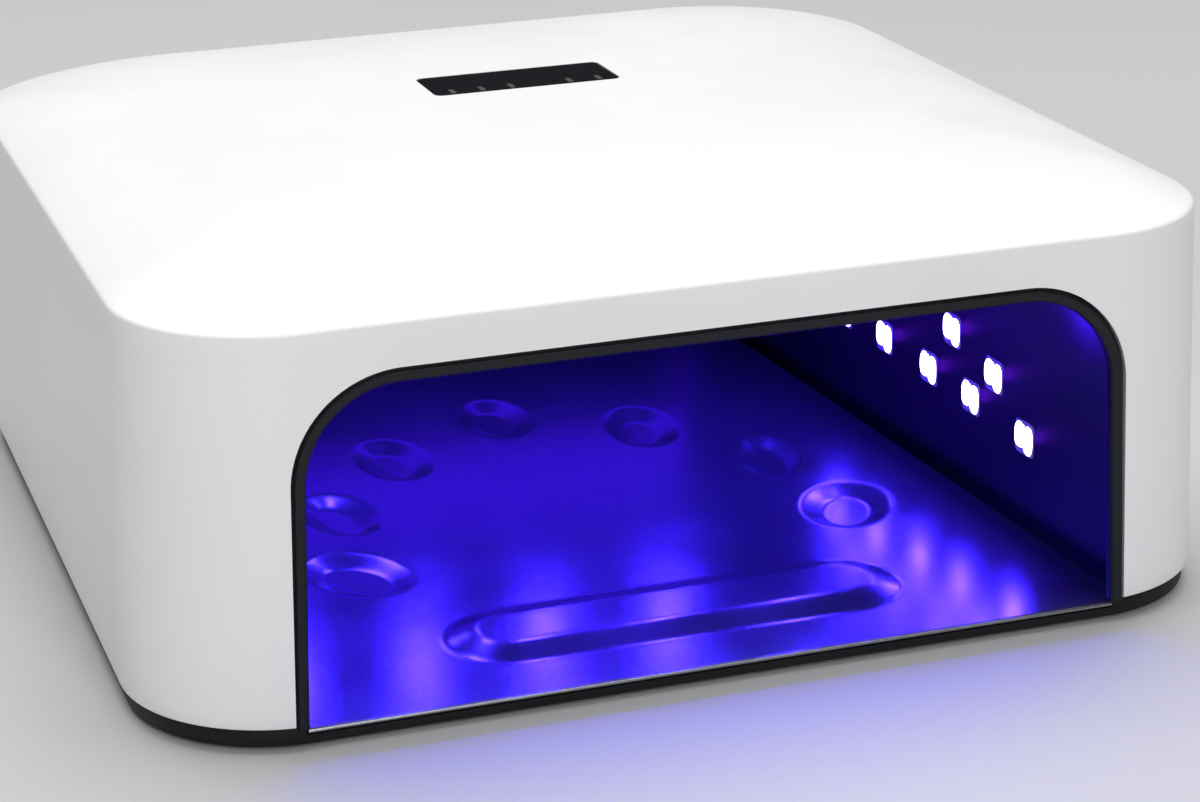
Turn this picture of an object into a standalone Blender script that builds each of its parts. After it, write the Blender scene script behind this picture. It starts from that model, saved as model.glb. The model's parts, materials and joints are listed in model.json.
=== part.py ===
"""UV LED nail lamp, as an assembly of separate parts.

Units are metres, +Z is up and the hand opening faces -Y. The origin is on the surface the lamp
stands on, under the middle of its outline. The tray and its steel plate stay on the table, and
everything else lifts off them as one lamp.
"""

import math

import bmesh
import bpy
from mathutils import Matrix, Vector

MM = 0.001
GAP = 0.3 * MM                     # clearance between parts that touch

# Shell: a nearly square box with a domed top
SHELL_WIDTH = 230 * MM
SHELL_DEPTH = 228 * MM
SHELL_WALL = 2.5 * MM
SHELL_BASE_Z = 5.0 * MM
CREASE_Z = 82.8 * MM               # where the walls meet the domed top
SIDE_DRAFT = 2.4 * MM              # how far the sides and the rear lean in over their height
FRONT_DRAFT = 1.5 * MM
FRONT_CORNER_R = 31 * MM
REAR_CORNER_R = 37.8 * MM
CROWN_CORNER_R = 22 * MM           # corner radius of the dome's flat middle
DOME_RUN = 85 * MM                 # distance from the crease to the flat middle
DOME_SHOULDER_RISE = 3.9 * MM
DOME_SHOULDER_RUN = 12 * MM
DOME_CROWN_RISE = 7.2 * MM
CROWN_Z = CREASE_Z + DOME_SHOULDER_RISE + DOME_CROWN_RISE
CREASE_CHAMFER = 0.8 * MM
CORNER_STEPS = 8

# Hand opening and its trim
OPENING_BASE_HALF = 87.25 * MM
OPENING_TOP_HALF = 85.55 * MM
OPENING_TOP_Z = 73.7 * MM
OPENING_CORNER_R = 21.9 * MM
TRIM_THICKNESS = 2.8 * MM
TRIM_DEPTH = 10 * MM
TRIM_FLANGE = 6 * MM
TRIM_FLANGE_THICKNESS = 2 * MM
TRIM_LIP = 0.6 * MM                # rounding of the trim's front edges
TRIM_LIP_DEPTH = 2.6 * MM          # how far back the narrow front lip reaches
TRIM_FUNNEL_Y = 8 * MM             # behind the front face, where the funnel meets the cavity's width
ARCH_STEPS = 8

# Hand cavity, lined by the reflector. It narrows towards the rear.
LAMP_BASE_Z = 4.5 * MM             # underside of what lifts off the tray
CAVITY_FRONT_HALF = 88.3 * MM
CAVITY_FRONT_TOP_Z = 74.5 * MM
CAVITY_FRONT_Y = -SHELL_DEPTH / 2 + TRIM_DEPTH + GAP
CAVITY_TAPER = 0.066
CAVITY_CORNER_R = 20 * MM
CAVITY_REAR_Y = 93 * MM
CAVITY_REAR_R = 26 * MM
REFLECTOR_WALL = 1.8 * MM
REAR_STEPS = 7

# Light sources: a bead fills each square window in the reflector
BEAD_SIDE = 7.6 * MM
BEAD_PROUD = 0.7 * MM
BEAD_CORNER_R = 1.2 * MM
WINDOW_SIDE = BEAD_SIDE + 2 * GAP
BOARD_THICKNESS = 1.6 * MM
BOARD_MARGIN = 5 * MM              # LED board beyond its outermost windows
BOARD_FACE = -(REFLECTOR_WALL + GAP)           # depth of an LED board's front, behind the cavity
SIDE_BEADS = (                                 # distance from mid-depth, height
    (-70 * MM, 25 * MM),
    (-47 * MM, 27 * MM),
    (-28 * MM, 28 * MM),
    (-7 * MM, 29 * MM),
    (13 * MM, 29.5 * MM),
    (-56.5 * MM, 35 * MM),
    (-38 * MM, 40 * MM),
    (-17 * MM, 43 * MM),
    (4 * MM, 43 * MM),
)
TOP_BEAD_ROWS = (                              # depth, and places across in staggered rows
    (-30 * MM, (-40 * MM, -8 * MM, 24 * MM, 56 * MM)),
    (27 * MM, (-56 * MM, -24 * MM, 8 * MM, 40 * MM)),
)
SENSOR_X = 12 * MM
SENSOR_Y = -86 * MM
SENSOR_R = 2.5 * MM
SENSOR_PROFILE = (                 # radius, height over the ceiling's face
    (0.0, 1.6 * MM),
    (1.3 * MM, 1.2 * MM),
    (2.2 * MM, 0.3 * MM),
    (SENSOR_R, -0.6 * MM),
    (SENSOR_R, -7.0 * MM),
    (0.0, -7.0 * MM),
)

# Display and controls, under the middle of the top
DISPLAY_SIZE = (43 * MM, 17.2 * MM)
DISPLAY_Y = 14.2 * MM
DISPLAY_THICKNESS = 1.5 * MM
DISPLAY_CORNER_R = 1.6 * MM
DISPLAY_LEDGE = 1.3 * MM
MODULE_SIZE = (36 * MM, 8.6 * MM)
MODULE_Y = 16.5 * MM
CONTROL_BOARD_Z = 84.0 * MM
CONTROL_BOARD_SIZE = (84 * MM, 56 * MM)
CONTROL_BOARD_Y = 18 * MM
BOARD_POST_R = 2.5 * MM
BOARD_POST_INSET = 6 * MM
TOUCH_STRIP_SIZE = (37.8 * MM, 3.2 * MM, 1.5 * MM)
TOUCH_STRIP_Y = 9.2 * MM
TOUCH_PAD_R = 1.3 * MM
TOUCH_PITCH = 6.85 * MM
TOUCH_SLOTS = (-2.5, -1.5, -0.5, 1.5, 2.5)     # the fourth of six even places has no key

# Bottom frame, tray and steel plate
FRAME_INSET = 3.5 * MM
FRAME_HEIGHT = 3.5 * MM
TRAY_INSET = 1.2 * MM
TRAY_BASE_Z = 1.0 * MM
TRAY_LEDGE_Z = 2.9 * MM
TRAY_RIM_Z = 4.7 * MM
TRAY_RIM_WIDTH = 2.0 * MM
TRAY_WINDOW_HALF = 96 * MM
TRAY_WINDOW_R = 22 * MM
PLATE_TOP_Z = 4.2 * MM
PLATE_THICKNESS = 1.0 * MM
PLATE_FRONT_SETBACK = 0.6 * MM
SHEET_OVERLAP = 0.5 * MM           # how far a pressed form is carried through the sheet's face
PRESS_SPREAD = 0.7 * MM            # sheet thickness measured across a pressed form's sloping wall
OVAL_STEPS = 20
DIMPLES = (                                    # centre x and y, outward lean in degrees, widening
    (56.4 * MM, -43.5 * MM, 28, 1.8 * MM),
    (51.5 * MM, -9 * MM, 10, 0.0),
    (31 * MM, 20 * MM, 5, 0.0),
)
MIDDLE_DIMPLE_Y = 38 * MM
DIMPLE_PROFILE = (                             # half width, half length, depth below the plate
    (9.0 * MM, 14.4 * MM, 0.0),
    (6.9 * MM, 12.3 * MM, 0.8 * MM),
    (4.4 * MM, 9.8 * MM, 1.7 * MM),
    (2.6 * MM, 8.0 * MM, 2.0 * MM),
)
REST_Y = -85.2 * MM
REST_PROFILE = (                               # half length, half depth, height over the plate
    (50.0 * MM, 14.1 * MM, 0.0),
    (47.0 * MM, 11.1 * MM, 0.85 * MM),
    (43.9 * MM, 8.0 * MM, 1.8 * MM),
    (42.0 * MM, 6.1 * MM, 2.1 * MM),
)

# Small hardware
SCREW_POINTS = ((101.5 * MM, -80 * MM), (98 * MM, 72 * MM))
MAGNET_POINTS = ((101 * MM, -50 * MM), (97 * MM, 44 * MM))
FOOT_POINTS = ((100 * MM, -96 * MM), (97 * MM, 93 * MM))
SIDES = ((1, "right"), (-1, "left"))
ENDS = ("front", "rear")
SCREW_HEAD_R = 2.9 * MM
SCREW_SHANK_R = 1.3 * MM
SCREW_HEAD_HEIGHT = 1.8 * MM
SCREW_LENGTH = 12 * MM
BOSS_R = 3.6 * MM
RIB_THICKNESS = 1.8 * MM
RIB_Z = (9 * MM, 45 * MM)
RIB_END_X = 112.2 * MM             # inside the side wall's thickness
MAGNET_R = 5 * MM
MAGNET_THICKNESS = 2.5 * MM
FOOT_R = 6 * MM
FOOT_HEIGHT = 1.6 * MM
JACK_Z = 18.5 * MM
JACK_BODY = (11 * MM, 12 * MM, 12 * MM)
JACK_NOSE_R = 4.5 * MM
JACK_SOCKET_R = 3.1 * MM
JACK_PIN_R = 1.1 * MM
JACK_SOCKET_DEPTH = 9 * MM
VENT_COUNT = 6
VENT_PITCH = 7 * MM
VENT_SIZE = (2.4 * MM, 16 * MM)
VENT_X = 38 * MM
VENT_Z = 24 * MM
LEAD_R = 0.9 * MM


# ---------------------------------------------------------------- scene helpers

def clear_scene():
    for item in list(bpy.data.objects):
        bpy.data.objects.remove(item, do_unlink=True)


def add_collection(name):
    collection = bpy.data.collections.new(name)
    bpy.context.scene.collection.children.link(collection)
    return collection


clear_scene()
PARTS = add_collection("uv_led_nail_lamp")
CUTTERS = add_collection("cutters")


def make_material(name, colour, roughness, metallic=0.0):
    material = bpy.data.materials.new(name)
    material.use_nodes = True
    shader = material.node_tree.nodes["Principled BSDF"]
    shader.inputs["Base Color"].default_value = (*colour, 1.0)
    shader.inputs["Roughness"].default_value = roughness
    shader.inputs["Metallic"].default_value = metallic
    return material


def add_object(name, mesh, material=None):
    """Put a mesh in the scene as a part, or as a cutter when it has no material."""
    item = bpy.data.objects.new(name, mesh)
    if material is None:
        CUTTERS.objects.link(item)
        item.hide_render = True
        item.display_type = "WIRE"
        return item
    PARTS.objects.link(item)
    if not mesh.materials:
        mesh.materials.append(material)
    return item


def mesh_from(bm, name, smooth_angle=None):
    """Turn a bmesh into a mesh with outward faces, shaded smooth below an angle in degrees."""
    bmesh.ops.recalc_face_normals(bm, faces=bm.faces)
    mesh = bpy.data.meshes.new(name)
    bm.to_mesh(mesh)
    bm.free()
    if smooth_angle is not None:
        mesh.shade_smooth()
        mesh.set_sharp_from_angle(angle=math.radians(smooth_angle))
    return mesh


def add_empty(name, matrix):
    empty = bpy.data.objects.new(name, None)
    PARTS.objects.link(empty)
    empty.matrix_world = matrix
    return empty


def boolean(target, cutter, operation="DIFFERENCE"):
    modifier = target.modifiers.new(cutter.name, "BOOLEAN")
    modifier.operation = operation
    modifier.solver = "EXACT"
    modifier.object = cutter


# ---------------------------------------------------------------- shape helpers

def loft_mesh(name, sections, smooth_angle=None):
    """Closed solid through sections that all have the same number of points."""
    bm = bmesh.new()
    rings = [[bm.verts.new(point) for point in section] for section in sections]
    count = len(rings[0])
    for lower, upper in zip(rings, rings[1:]):
        for i in range(count):
            j = (i + 1) % count
            bm.faces.new((lower[i], lower[j], upper[j], upper[i]))
    bm.faces.new(list(reversed(rings[0])))
    bm.faces.new(rings[-1])
    return mesh_from(bm, name, smooth_angle)


def prism_mesh(name, outline, low, high, smooth_angle=None):
    """Flat outline in X and Y, drawn up from z = low to z = high."""
    sections = [[(x, y, z) for x, y in outline] for z in (low, high)]
    return loft_mesh(name, sections, smooth_angle)


def box_mesh(name, low, high):
    bm = bmesh.new()
    bmesh.ops.create_cube(bm, size=1.0)
    size = Vector(high) - Vector(low)
    middle = (Vector(high) + Vector(low)) / 2
    bmesh.ops.scale(bm, vec=size, verts=bm.verts)
    bmesh.ops.translate(bm, vec=middle, verts=bm.verts)
    return mesh_from(bm, name)


def cylinder_mesh(name, radius, low, high, segments=24):
    """Cylinder about local Z from low to high."""
    bm = bmesh.new()
    bmesh.ops.create_cone(
        bm, cap_ends=True, segments=segments, radius1=radius, radius2=radius, depth=high - low
    )
    bmesh.ops.translate(bm, vec=(0, 0, (low + high) / 2), verts=bm.verts)
    return mesh_from(bm, name, 40)


def turned_part(name, profile, material, segments=20):
    """Solid of revolution about Z. The profile runs from the top of the axis to its foot."""
    mesh = bpy.data.meshes.new(name)
    points = [(radius, 0.0, z) for radius, z in profile]
    edges = [(i, i + 1) for i in range(len(points) - 1)]
    mesh.from_pydata(points, edges, [])
    item = add_object(name, mesh, material)
    screw = item.modifiers.new("turn", "SCREW")
    screw.steps = segments
    screw.render_steps = segments
    screw.use_merge_vertices = True
    screw.merge_threshold = 0.00001
    screw.use_smooth_shade = True
    return item


def arc_points(centre, radius, start, end, steps):
    """Points on a circle, angles in degrees, both ends included."""
    points = []
    for i in range(steps + 1):
        angle = math.radians(start + (end - start) * i / steps)
        points.append((centre[0] + radius * math.cos(angle), centre[1] + radius * math.sin(angle)))
    return points


def rounded_outline(half_width, front, rear, front_r, rear_r, steps=CORNER_STEPS):
    """Rectangle with rounded corners, anticlockwise from the front left."""
    outline = arc_points((-half_width + front_r, front + front_r), front_r, 180, 270, steps)
    outline += arc_points((half_width - front_r, front + front_r), front_r, 270, 360, steps)
    outline += arc_points((half_width - rear_r, rear - rear_r), rear_r, 0, 90, steps)
    outline += arc_points((-half_width + rear_r, rear - rear_r), rear_r, 90, 180, steps)
    return outline


def stadium_outline(half_length, half_depth, steps=OVAL_STEPS // 2):
    """Long rounded bar lying along X."""
    reach = half_length - half_depth
    outline = arc_points((reach, 0), half_depth, -90, 90, steps)
    outline += arc_points((-reach, 0), half_depth, 90, 270, steps)
    return outline


def smooth_route(points, steps=4):
    """Catmull-Rom curve through the points of a lead's route."""
    ends = [2 * Vector(points[0]) - Vector(points[1])]
    knots = ends + [Vector(p) for p in points] + [2 * Vector(points[-1]) - Vector(points[-2])]
    route = []
    for a, b, c, d in zip(knots, knots[1:], knots[2:], knots[3:]):
        for i in range(steps):
            t = i / steps
            bend = (2 * a - 5 * b + 4 * c - d) * t * t + (3 * b - a - 3 * c + d) * t ** 3
            route.append((2 * b + (c - a) * t + bend) / 2)
    route.append(knots[-2])
    return route


# ---------------------------------------------------------------- the lamp's own surfaces

def shell_outline(side_inset, front_inset, dome_inset=0.0, wall=0.0):
    """Plan of the shell. The dome's corners tighten towards its flat middle."""
    blend = dome_inset / DOME_RUN
    front_r = FRONT_CORNER_R + (CROWN_CORNER_R - FRONT_CORNER_R) * blend - wall
    rear_r = REAR_CORNER_R + (CROWN_CORNER_R - REAR_CORNER_R) * blend - wall
    return rounded_outline(
        SHELL_WIDTH / 2 - side_inset - dome_inset - wall,
        -SHELL_DEPTH / 2 + front_inset + dome_inset + wall,
        SHELL_DEPTH / 2 - side_inset - dome_inset - wall,
        front_r,
        rear_r,
    )


def draft_share(z):
    return (z - SHELL_BASE_Z) / (CREASE_Z - SHELL_BASE_Z)


def dome_rise(inset):
    """Height of the top over the crease, at a distance in from the crease."""
    shoulder = DOME_SHOULDER_RISE * (1 - math.exp(-inset / DOME_SHOULDER_RUN))
    crown = DOME_CROWN_RISE * (1 - (1 - inset / DOME_RUN) ** 2)
    return shoulder + crown


def wall_section(z, wall=0.0):
    share = draft_share(z)
    outline = shell_outline(SIDE_DRAFT * share, FRONT_DRAFT * share, 0.0, wall)
    return [(x, y, z) for x, y in outline]


def dome_section(inset, drop=0.0, wall=0.0):
    outline = shell_outline(SIDE_DRAFT, FRONT_DRAFT, inset, wall)
    z = CREASE_Z + dome_rise(inset) - drop
    return [(x, y, z) for x, y in outline]


def front_lean(z):
    """How far the front face has leaned back at a height."""
    return FRONT_DRAFT * draft_share(z)


def arch_path(offset, base_z):
    """Opening's outline in X and Z, from the left foot over the top to the right foot."""
    low = OPENING_BASE_HALF + offset
    high = OPENING_TOP_HALF + offset
    radius = OPENING_CORNER_R + offset
    top = OPENING_TOP_Z + offset
    path = [(-low, base_z)]
    path += arc_points((-high + radius, top - radius), radius, 180, 90, ARCH_STEPS)
    path += arc_points((high - radius, top - radius), radius, 90, 0, ARCH_STEPS)
    path += [(low, base_z)]
    return path


def cavity_half_width(y):
    return CAVITY_FRONT_HALF - CAVITY_TAPER * (y - CAVITY_FRONT_Y)


def cavity_top(y):
    return CAVITY_FRONT_TOP_Z - CAVITY_TAPER * (y - CAVITY_FRONT_Y)


def cavity_section(y, offset, shrink, base_z):
    """Arch across the cavity at one depth: flat walls, rounded upper corners, flat ceiling."""
    half = cavity_half_width(y) + offset - shrink
    top = cavity_top(y) + offset - shrink
    radius = CAVITY_CORNER_R + offset - shrink * 0.5
    path = [(-half, base_z)]
    path += arc_points((-half + radius, top - radius), radius, 180, 90, ARCH_STEPS)
    path += arc_points((half - radius, top - radius), radius, 90, 0, ARCH_STEPS)
    path += [(half, base_z)]
    return [(x, y, z) for x, z in path]


def cavity_mesh(name, offset, front_y, base_z):
    """Solid that fills the cavity, grown by an offset, with its rear end rounded."""
    bend_y = CAVITY_REAR_Y - CAVITY_REAR_R
    radius = CAVITY_REAR_R + offset
    sections = [cavity_section(front_y, offset, 0.0, base_z)]
    for i in range(REAR_STEPS + 1):
        angle = math.radians(80) * i / REAR_STEPS
        shrink = radius * (1 - math.cos(angle))
        y = bend_y + radius * math.sin(angle)
        sections.append(cavity_section(y, offset, shrink, base_z))
    return loft_mesh(name, sections, 35)


def wall_matrix(side):
    """Frame on a cavity wall at mid-depth: Z points into the cavity and Y points up."""
    slope = math.atan(CAVITY_TAPER)
    inward = Vector((-side * math.cos(slope), -math.sin(slope), 0))
    up = Vector((0, 0, 1))
    along = up.cross(inward)
    rotation = Matrix((along, up, inward)).transposed().to_4x4()
    return Matrix.Translation((side * cavity_half_width(0), 0, 0)) @ rotation


def ceiling_matrix():
    """Frame on the cavity's ceiling at mid-depth: Z points down and X stays X."""
    slope = math.atan(CAVITY_TAPER)
    down = Vector((0, -math.sin(slope), -math.cos(slope)))
    across = Vector((1, 0, 0))
    along = down.cross(across)
    rotation = Matrix((across, along, down)).transposed().to_4x4()
    return Matrix.Translation((0, 0, cavity_top(0))) @ rotation


def along_slope(y):
    """Distance along a tapered wall or the ceiling, for a distance in Y."""
    return y * math.sqrt(1 + CAVITY_TAPER ** 2)


WALL_FRAMES = {side: add_empty(f"{name}_wall_frame", wall_matrix(side)) for side, name in SIDES}
CEILING_FRAME = add_empty("ceiling_frame", ceiling_matrix())


def side_bead_places(side):
    return [(-side * along_slope(y), z, 0.0) for y, z in SIDE_BEADS]


def top_bead_places():
    return [(x, -along_slope(y), 0.0) for y, columns in TOP_BEAD_ROWS for x in columns]


def mirrored(points):
    """The places of hardware that comes in left and right pairs, with their names."""
    places = []
    for (x, y), end in zip(points, ENDS):
        for side, name in SIDES:
            places.append((f"{end}_{name}", side * x, y))
    return places


# ---------------------------------------------------------------- materials

WHITE_PLASTIC = make_material("white_plastic", (0.86, 0.86, 0.85), 0.32)
BLACK_PLASTIC = make_material("black_plastic", (0.012, 0.012, 0.014), 0.45)
BLACK_GLOSS = make_material("black_gloss", (0.004, 0.004, 0.006), 0.08)
REFLECTOR_PLASTIC = make_material("reflector_plastic", (0.08, 0.08, 0.09), 0.28, 0.2)
LED_LENS = make_material("led_lens", (0.62, 0.50, 1.0), 0.15)
LED_BOARD = make_material("led_board", (0.85, 0.85, 0.80), 0.5)
CONTROL_BOARD = make_material("control_board", (0.02, 0.16, 0.06), 0.45)
DISPLAY_BODY = make_material("display_body", (0.05, 0.05, 0.05), 0.5)
TOUCH_RUBBER = make_material("touch_rubber", (0.03, 0.03, 0.03), 0.8)
SENSOR_LENS = make_material("sensor_lens", (0.02, 0.01, 0.03), 0.12)
STEEL = make_material("steel", (0.56, 0.56, 0.58), 0.25, 1.0)
NICKEL = make_material("nickel", (0.70, 0.68, 0.64), 0.2, 1.0)
RUBBER = make_material("rubber", (0.02, 0.02, 0.02), 0.85)
LEAD_SLEEVE = make_material("lead_sleeve", (0.45, 0.02, 0.02), 0.5)


# ---------------------------------------------------------------- shell and trim

def shell_body():
    """Outer form of the shell as a solid, before it is hollowed."""
    chamfered = CREASE_Z - CREASE_CHAMFER
    sections = [wall_section(SHELL_BASE_Z), wall_section(chamfered)]
    for share in (0.012, 0.05, 0.1, 0.17, 0.27, 0.4, 0.55, 0.75, 1.0):
        sections.append(dome_section(DOME_RUN * share))
    return add_object("top_shell", loft_mesh("top_shell", sections, 30), WHITE_PLASTIC)


def shell_hollow():
    sections = [wall_section(-5 * MM, SHELL_WALL), wall_section(CREASE_Z - SHELL_WALL, SHELL_WALL)]
    for share in (0.06, 0.15, 0.27, 0.45, 0.7, 1.0):
        sections.append(dome_section(DOME_RUN * share, SHELL_WALL, SHELL_WALL))
    return add_object("shell_hollow", loft_mesh("shell_hollow", sections))


def opening_cutter():
    path = arch_path(GAP, -5 * MM)
    front = -SHELL_DEPTH / 2 - 10 * MM
    rear = -SHELL_DEPTH / 2 + 14 * MM
    sections = [[(x, y, z) for x, z in path] for y in (front, rear)]
    return add_object("opening_cutter", loft_mesh("opening_cutter", sections))


def display_cutters():
    """Recess for the window, and a smaller hole through its floor."""
    recess_floor = CROWN_Z - DISPLAY_THICKNESS - GAP
    cutters = []
    for name, margin, low in (
        ("display_recess", GAP, recess_floor),
        ("display_hole", -DISPLAY_LEDGE, CONTROL_BOARD_Z),
    ):
        outline = display_outline(margin)
        cutters.append(add_object(name, prism_mesh(name, outline, low, CROWN_Z + 5 * MM)))
    return cutters


def display_outline(margin):
    half_x = DISPLAY_SIZE[0] / 2 + margin
    half_y = DISPLAY_SIZE[1] / 2 + margin
    radius = max(DISPLAY_CORNER_R + margin, 0.4 * MM)
    return rounded_outline(half_x, DISPLAY_Y - half_y, DISPLAY_Y + half_y, radius, radius, 3)


def jack_hole_cutter():
    mesh = cylinder_mesh("jack_hole", JACK_NOSE_R + GAP, -10 * MM, 10 * MM)
    cutter = add_object("jack_hole", mesh)
    cutter.location = (0, SHELL_DEPTH / 2, JACK_Z)
    cutter.rotation_euler = (math.radians(90), 0, 0)
    return cutter


def vent_cutter():
    """Upright slots in the rear wall, a row on each side of the jack."""
    bm = bmesh.new()
    for side, _ in SIDES:
        for i in range(VENT_COUNT):
            x = side * (VENT_X + (i - (VENT_COUNT - 1) / 2) * VENT_PITCH)
            scale = Matrix.Diagonal((VENT_SIZE[0], 20 * MM, VENT_SIZE[1], 1))
            place = Matrix.Translation((x, SHELL_DEPTH / 2, VENT_Z))
            bmesh.ops.create_cube(bm, size=1.0, matrix=place @ scale)
    return add_object("vent_slots", mesh_from(bm, "vent_slots"))


def boss_top(x, y):
    """Height half way through the shell's top, over a boss."""
    edge_x = SHELL_WIDTH / 2 - SIDE_DRAFT - abs(x)
    edge_y = SHELL_DEPTH / 2 - SIDE_DRAFT - abs(y)
    return CREASE_Z + dome_rise(min(edge_x, edge_y)) - SHELL_WALL / 2


def add_bosses(shell):
    """Four screw columns that hang from the top, each with a rib to the side wall."""
    foot_z = LAMP_BASE_Z + FRAME_HEIGHT + GAP
    for label, x, y in mirrored(SCREW_POINTS):
        column_mesh = cylinder_mesh(f"boss_{label}", BOSS_R, foot_z, boss_top(x, y), 16)
        column = add_object(f"boss_{label}", column_mesh)
        column.location = (x, y, 0)
        boolean(shell, column, "UNION")
        low_x, high_x = sorted((x, math.copysign(RIB_END_X, x)))
        half = RIB_THICKNESS / 2
        low = (low_x, y - half, RIB_Z[0])
        high = (high_x, y + half, RIB_Z[1])
        rib_mesh = box_mesh(f"rib_{label}", low, high)
        boolean(shell, add_object(f"rib_{label}", rib_mesh), "UNION")
        hole_mesh = cylinder_mesh(f"pilot_{label}", SCREW_SHANK_R + GAP, 0, 18 * MM, 12)
        hole = add_object(f"pilot_{label}", hole_mesh)
        hole.location = (x, y, 0)
        boolean(shell, hole)


def add_board_posts(shell):
    """Four short posts over the control board's corners."""
    top = CREASE_Z + dome_rise(DOME_RUN * 0.8) - SHELL_WALL / 2
    foot = CONTROL_BOARD_Z + BOARD_THICKNESS + GAP
    for x in (-1, 1):
        for y in (-1, 1):
            name = f"post_{x}_{y}"
            post = add_object(name, cylinder_mesh(name, BOARD_POST_R, foot, top, 12))
            half_x = CONTROL_BOARD_SIZE[0] / 2 - BOARD_POST_INSET
            half_y = CONTROL_BOARD_SIZE[1] / 2 - BOARD_POST_INSET
            post.location = (x * half_x, CONTROL_BOARD_Y + y * half_y, 0)
            boolean(shell, post, "UNION")


def make_shell():
    shell = shell_body()
    boolean(shell, shell_hollow())
    boolean(shell, opening_cutter())
    for cutter in display_cutters():
        boolean(shell, cutter)
    boolean(shell, jack_hole_cutter())
    boolean(shell, vent_cutter())
    add_bosses(shell)
    add_board_posts(shell)


def make_trim():
    """Black arch round the opening: a narrow lip that widens into a funnel, then a rear flange."""
    front = -SHELL_DEPTH / 2
    rear = front + TRIM_DEPTH
    inner = -TRIM_THICKNESS
    flange_front = rear - TRIM_FLANGE_THICKNESS
    mouth = CAVITY_FRONT_HALF - OPENING_BASE_HALF
    section = (                    # offset from the opening's outline, y, follows the front's lean
        (inner + TRIM_LIP, front, True),
        (-TRIM_LIP, front, True),
        (0.0, front + TRIM_LIP, True),
        (0.0, front + SHELL_WALL + 3 * GAP, True),
        (mouth + TRIM_FLANGE_THICKNESS / 2, flange_front, False),
        (TRIM_FLANGE, flange_front, False),
        (TRIM_FLANGE, rear, False),
        (mouth, rear, False),
        (mouth, front + TRIM_FUNNEL_Y, False),
        (inner, front + TRIM_LIP_DEPTH, True),
        (inner, front + TRIM_LIP, True),
    )
    paths = [arch_path(offset, LAMP_BASE_Z) for offset, _, _ in section]
    rings = []
    for step in range(len(paths[0])):
        ring = []
        for path, (_, y, leans) in zip(paths, section):
            x, z = path[step]
            ring.append((x, y + (front_lean(z) if leans else 0.0), z))
        rings.append(ring)
    add_object("opening_trim", loft_mesh("opening_trim", rings, 50), BLACK_PLASTIC)


# ---------------------------------------------------------------- reflector and light sources

def window_cutter():
    """Square windows for the beads and two round holes for the hand sensor."""
    bm = bmesh.new()
    depth = 12 * MM
    box = Matrix.Diagonal((WINDOW_SIDE, WINDOW_SIDE, depth, 1))
    frames = [(WALL_FRAMES[side].matrix_world, side_bead_places(side)) for side, _ in SIDES]
    frames.append((CEILING_FRAME.matrix_world, top_bead_places()))
    for frame, places in frames:
        for place in places:
            bmesh.ops.create_cube(bm, size=1.0, matrix=frame @ Matrix.Translation(place) @ box)
    for side, _ in SIDES:
        place = Matrix.Translation((side * SENSOR_X, -along_slope(SENSOR_Y), 0))
        bmesh.ops.create_cone(
            bm,
            cap_ends=True,
            segments=16,
            radius1=SENSOR_R + GAP,
            radius2=SENSOR_R + GAP,
            depth=depth,
            matrix=CEILING_FRAME.matrix_world @ place,
        )
    return add_object("window_cutter", mesh_from(bm, "window_cutter"))


def make_reflector():
    body_mesh = cavity_mesh("reflector", REFLECTOR_WALL, CAVITY_FRONT_Y, LAMP_BASE_Z)
    reflector = add_object("reflector", body_mesh, REFLECTOR_PLASTIC)
    hollow_front = CAVITY_FRONT_Y - 20 * MM
    hollow = add_object("cavity_hollow", cavity_mesh("cavity_hollow", 0.0, hollow_front, -5 * MM))
    boolean(reflector, hollow)
    boolean(reflector, window_cutter())


def bead_mesh():
    """LED bead: a square package with rounded corners and a low lens."""
    base = -REFLECTOR_WALL
    sections = []
    for inset, z in ((0.0, base), (0.0, 0.0), (0.5 * MM, 0.45 * MM), (1.6 * MM, BEAD_PROUD)):
        half = BEAD_SIDE / 2 - inset
        radius = BEAD_CORNER_R + inset * 0.6
        outline = rounded_outline(half, -half, half, radius, radius, 2)
        sections.append([(x, y, z) for x, y in outline])
    return loft_mesh("led_bead", sections, 50)


def make_beads():
    mesh = bead_mesh()
    for side, name in SIDES:
        for number, place in enumerate(side_bead_places(side), 1):
            bead = add_object(f"led_bead_{name}_{number}", mesh, LED_LENS)
            bead.parent = WALL_FRAMES[side]
            bead.location = place
    for number, place in enumerate(top_bead_places(), 1):
        bead = add_object(f"led_bead_top_{number}", mesh, LED_LENS)
        bead.parent = CEILING_FRAME
        bead.location = place


def make_led_boards():
    """A flat board lies behind each wall's windows, and one over the ceiling's."""
    back = BOARD_FACE - BOARD_THICKNESS
    margin = BOARD_MARGIN + WINDOW_SIDE / 2
    for side, name in SIDES:
        places = side_bead_places(side)
        low = (min(p[0] for p in places) - margin, min(p[1] for p in places) - margin, back)
        high = (max(p[0] for p in places) + margin, max(p[1] for p in places) + margin, BOARD_FACE)
        board = add_object(f"led_board_{name}", box_mesh(f"led_board_{name}", low, high), LED_BOARD)
        board.parent = WALL_FRAMES[side]
    places = top_bead_places()
    half = max(p[0] for p in places) + WINDOW_SIDE
    low = (-half, min(p[1] for p in places) - WINDOW_SIDE, back)
    high = (half, max(p[1] for p in places) + margin, BOARD_FACE)
    board = add_object("led_board_top", box_mesh("led_board_top", low, high), LED_BOARD)
    board.parent = CEILING_FRAME


def make_hand_sensor():
    """Infrared emitter and receiver that look down through the ceiling near the opening."""
    for side, name in ((1, "hand_sensor_emitter"), (-1, "hand_sensor_receiver")):
        sensor = turned_part(name, SENSOR_PROFILE, SENSOR_LENS, 14)
        sensor.parent = CEILING_FRAME
        sensor.location = (side * SENSOR_X, -along_slope(SENSOR_Y), 0)


# ---------------------------------------------------------------- display and electronics

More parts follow.
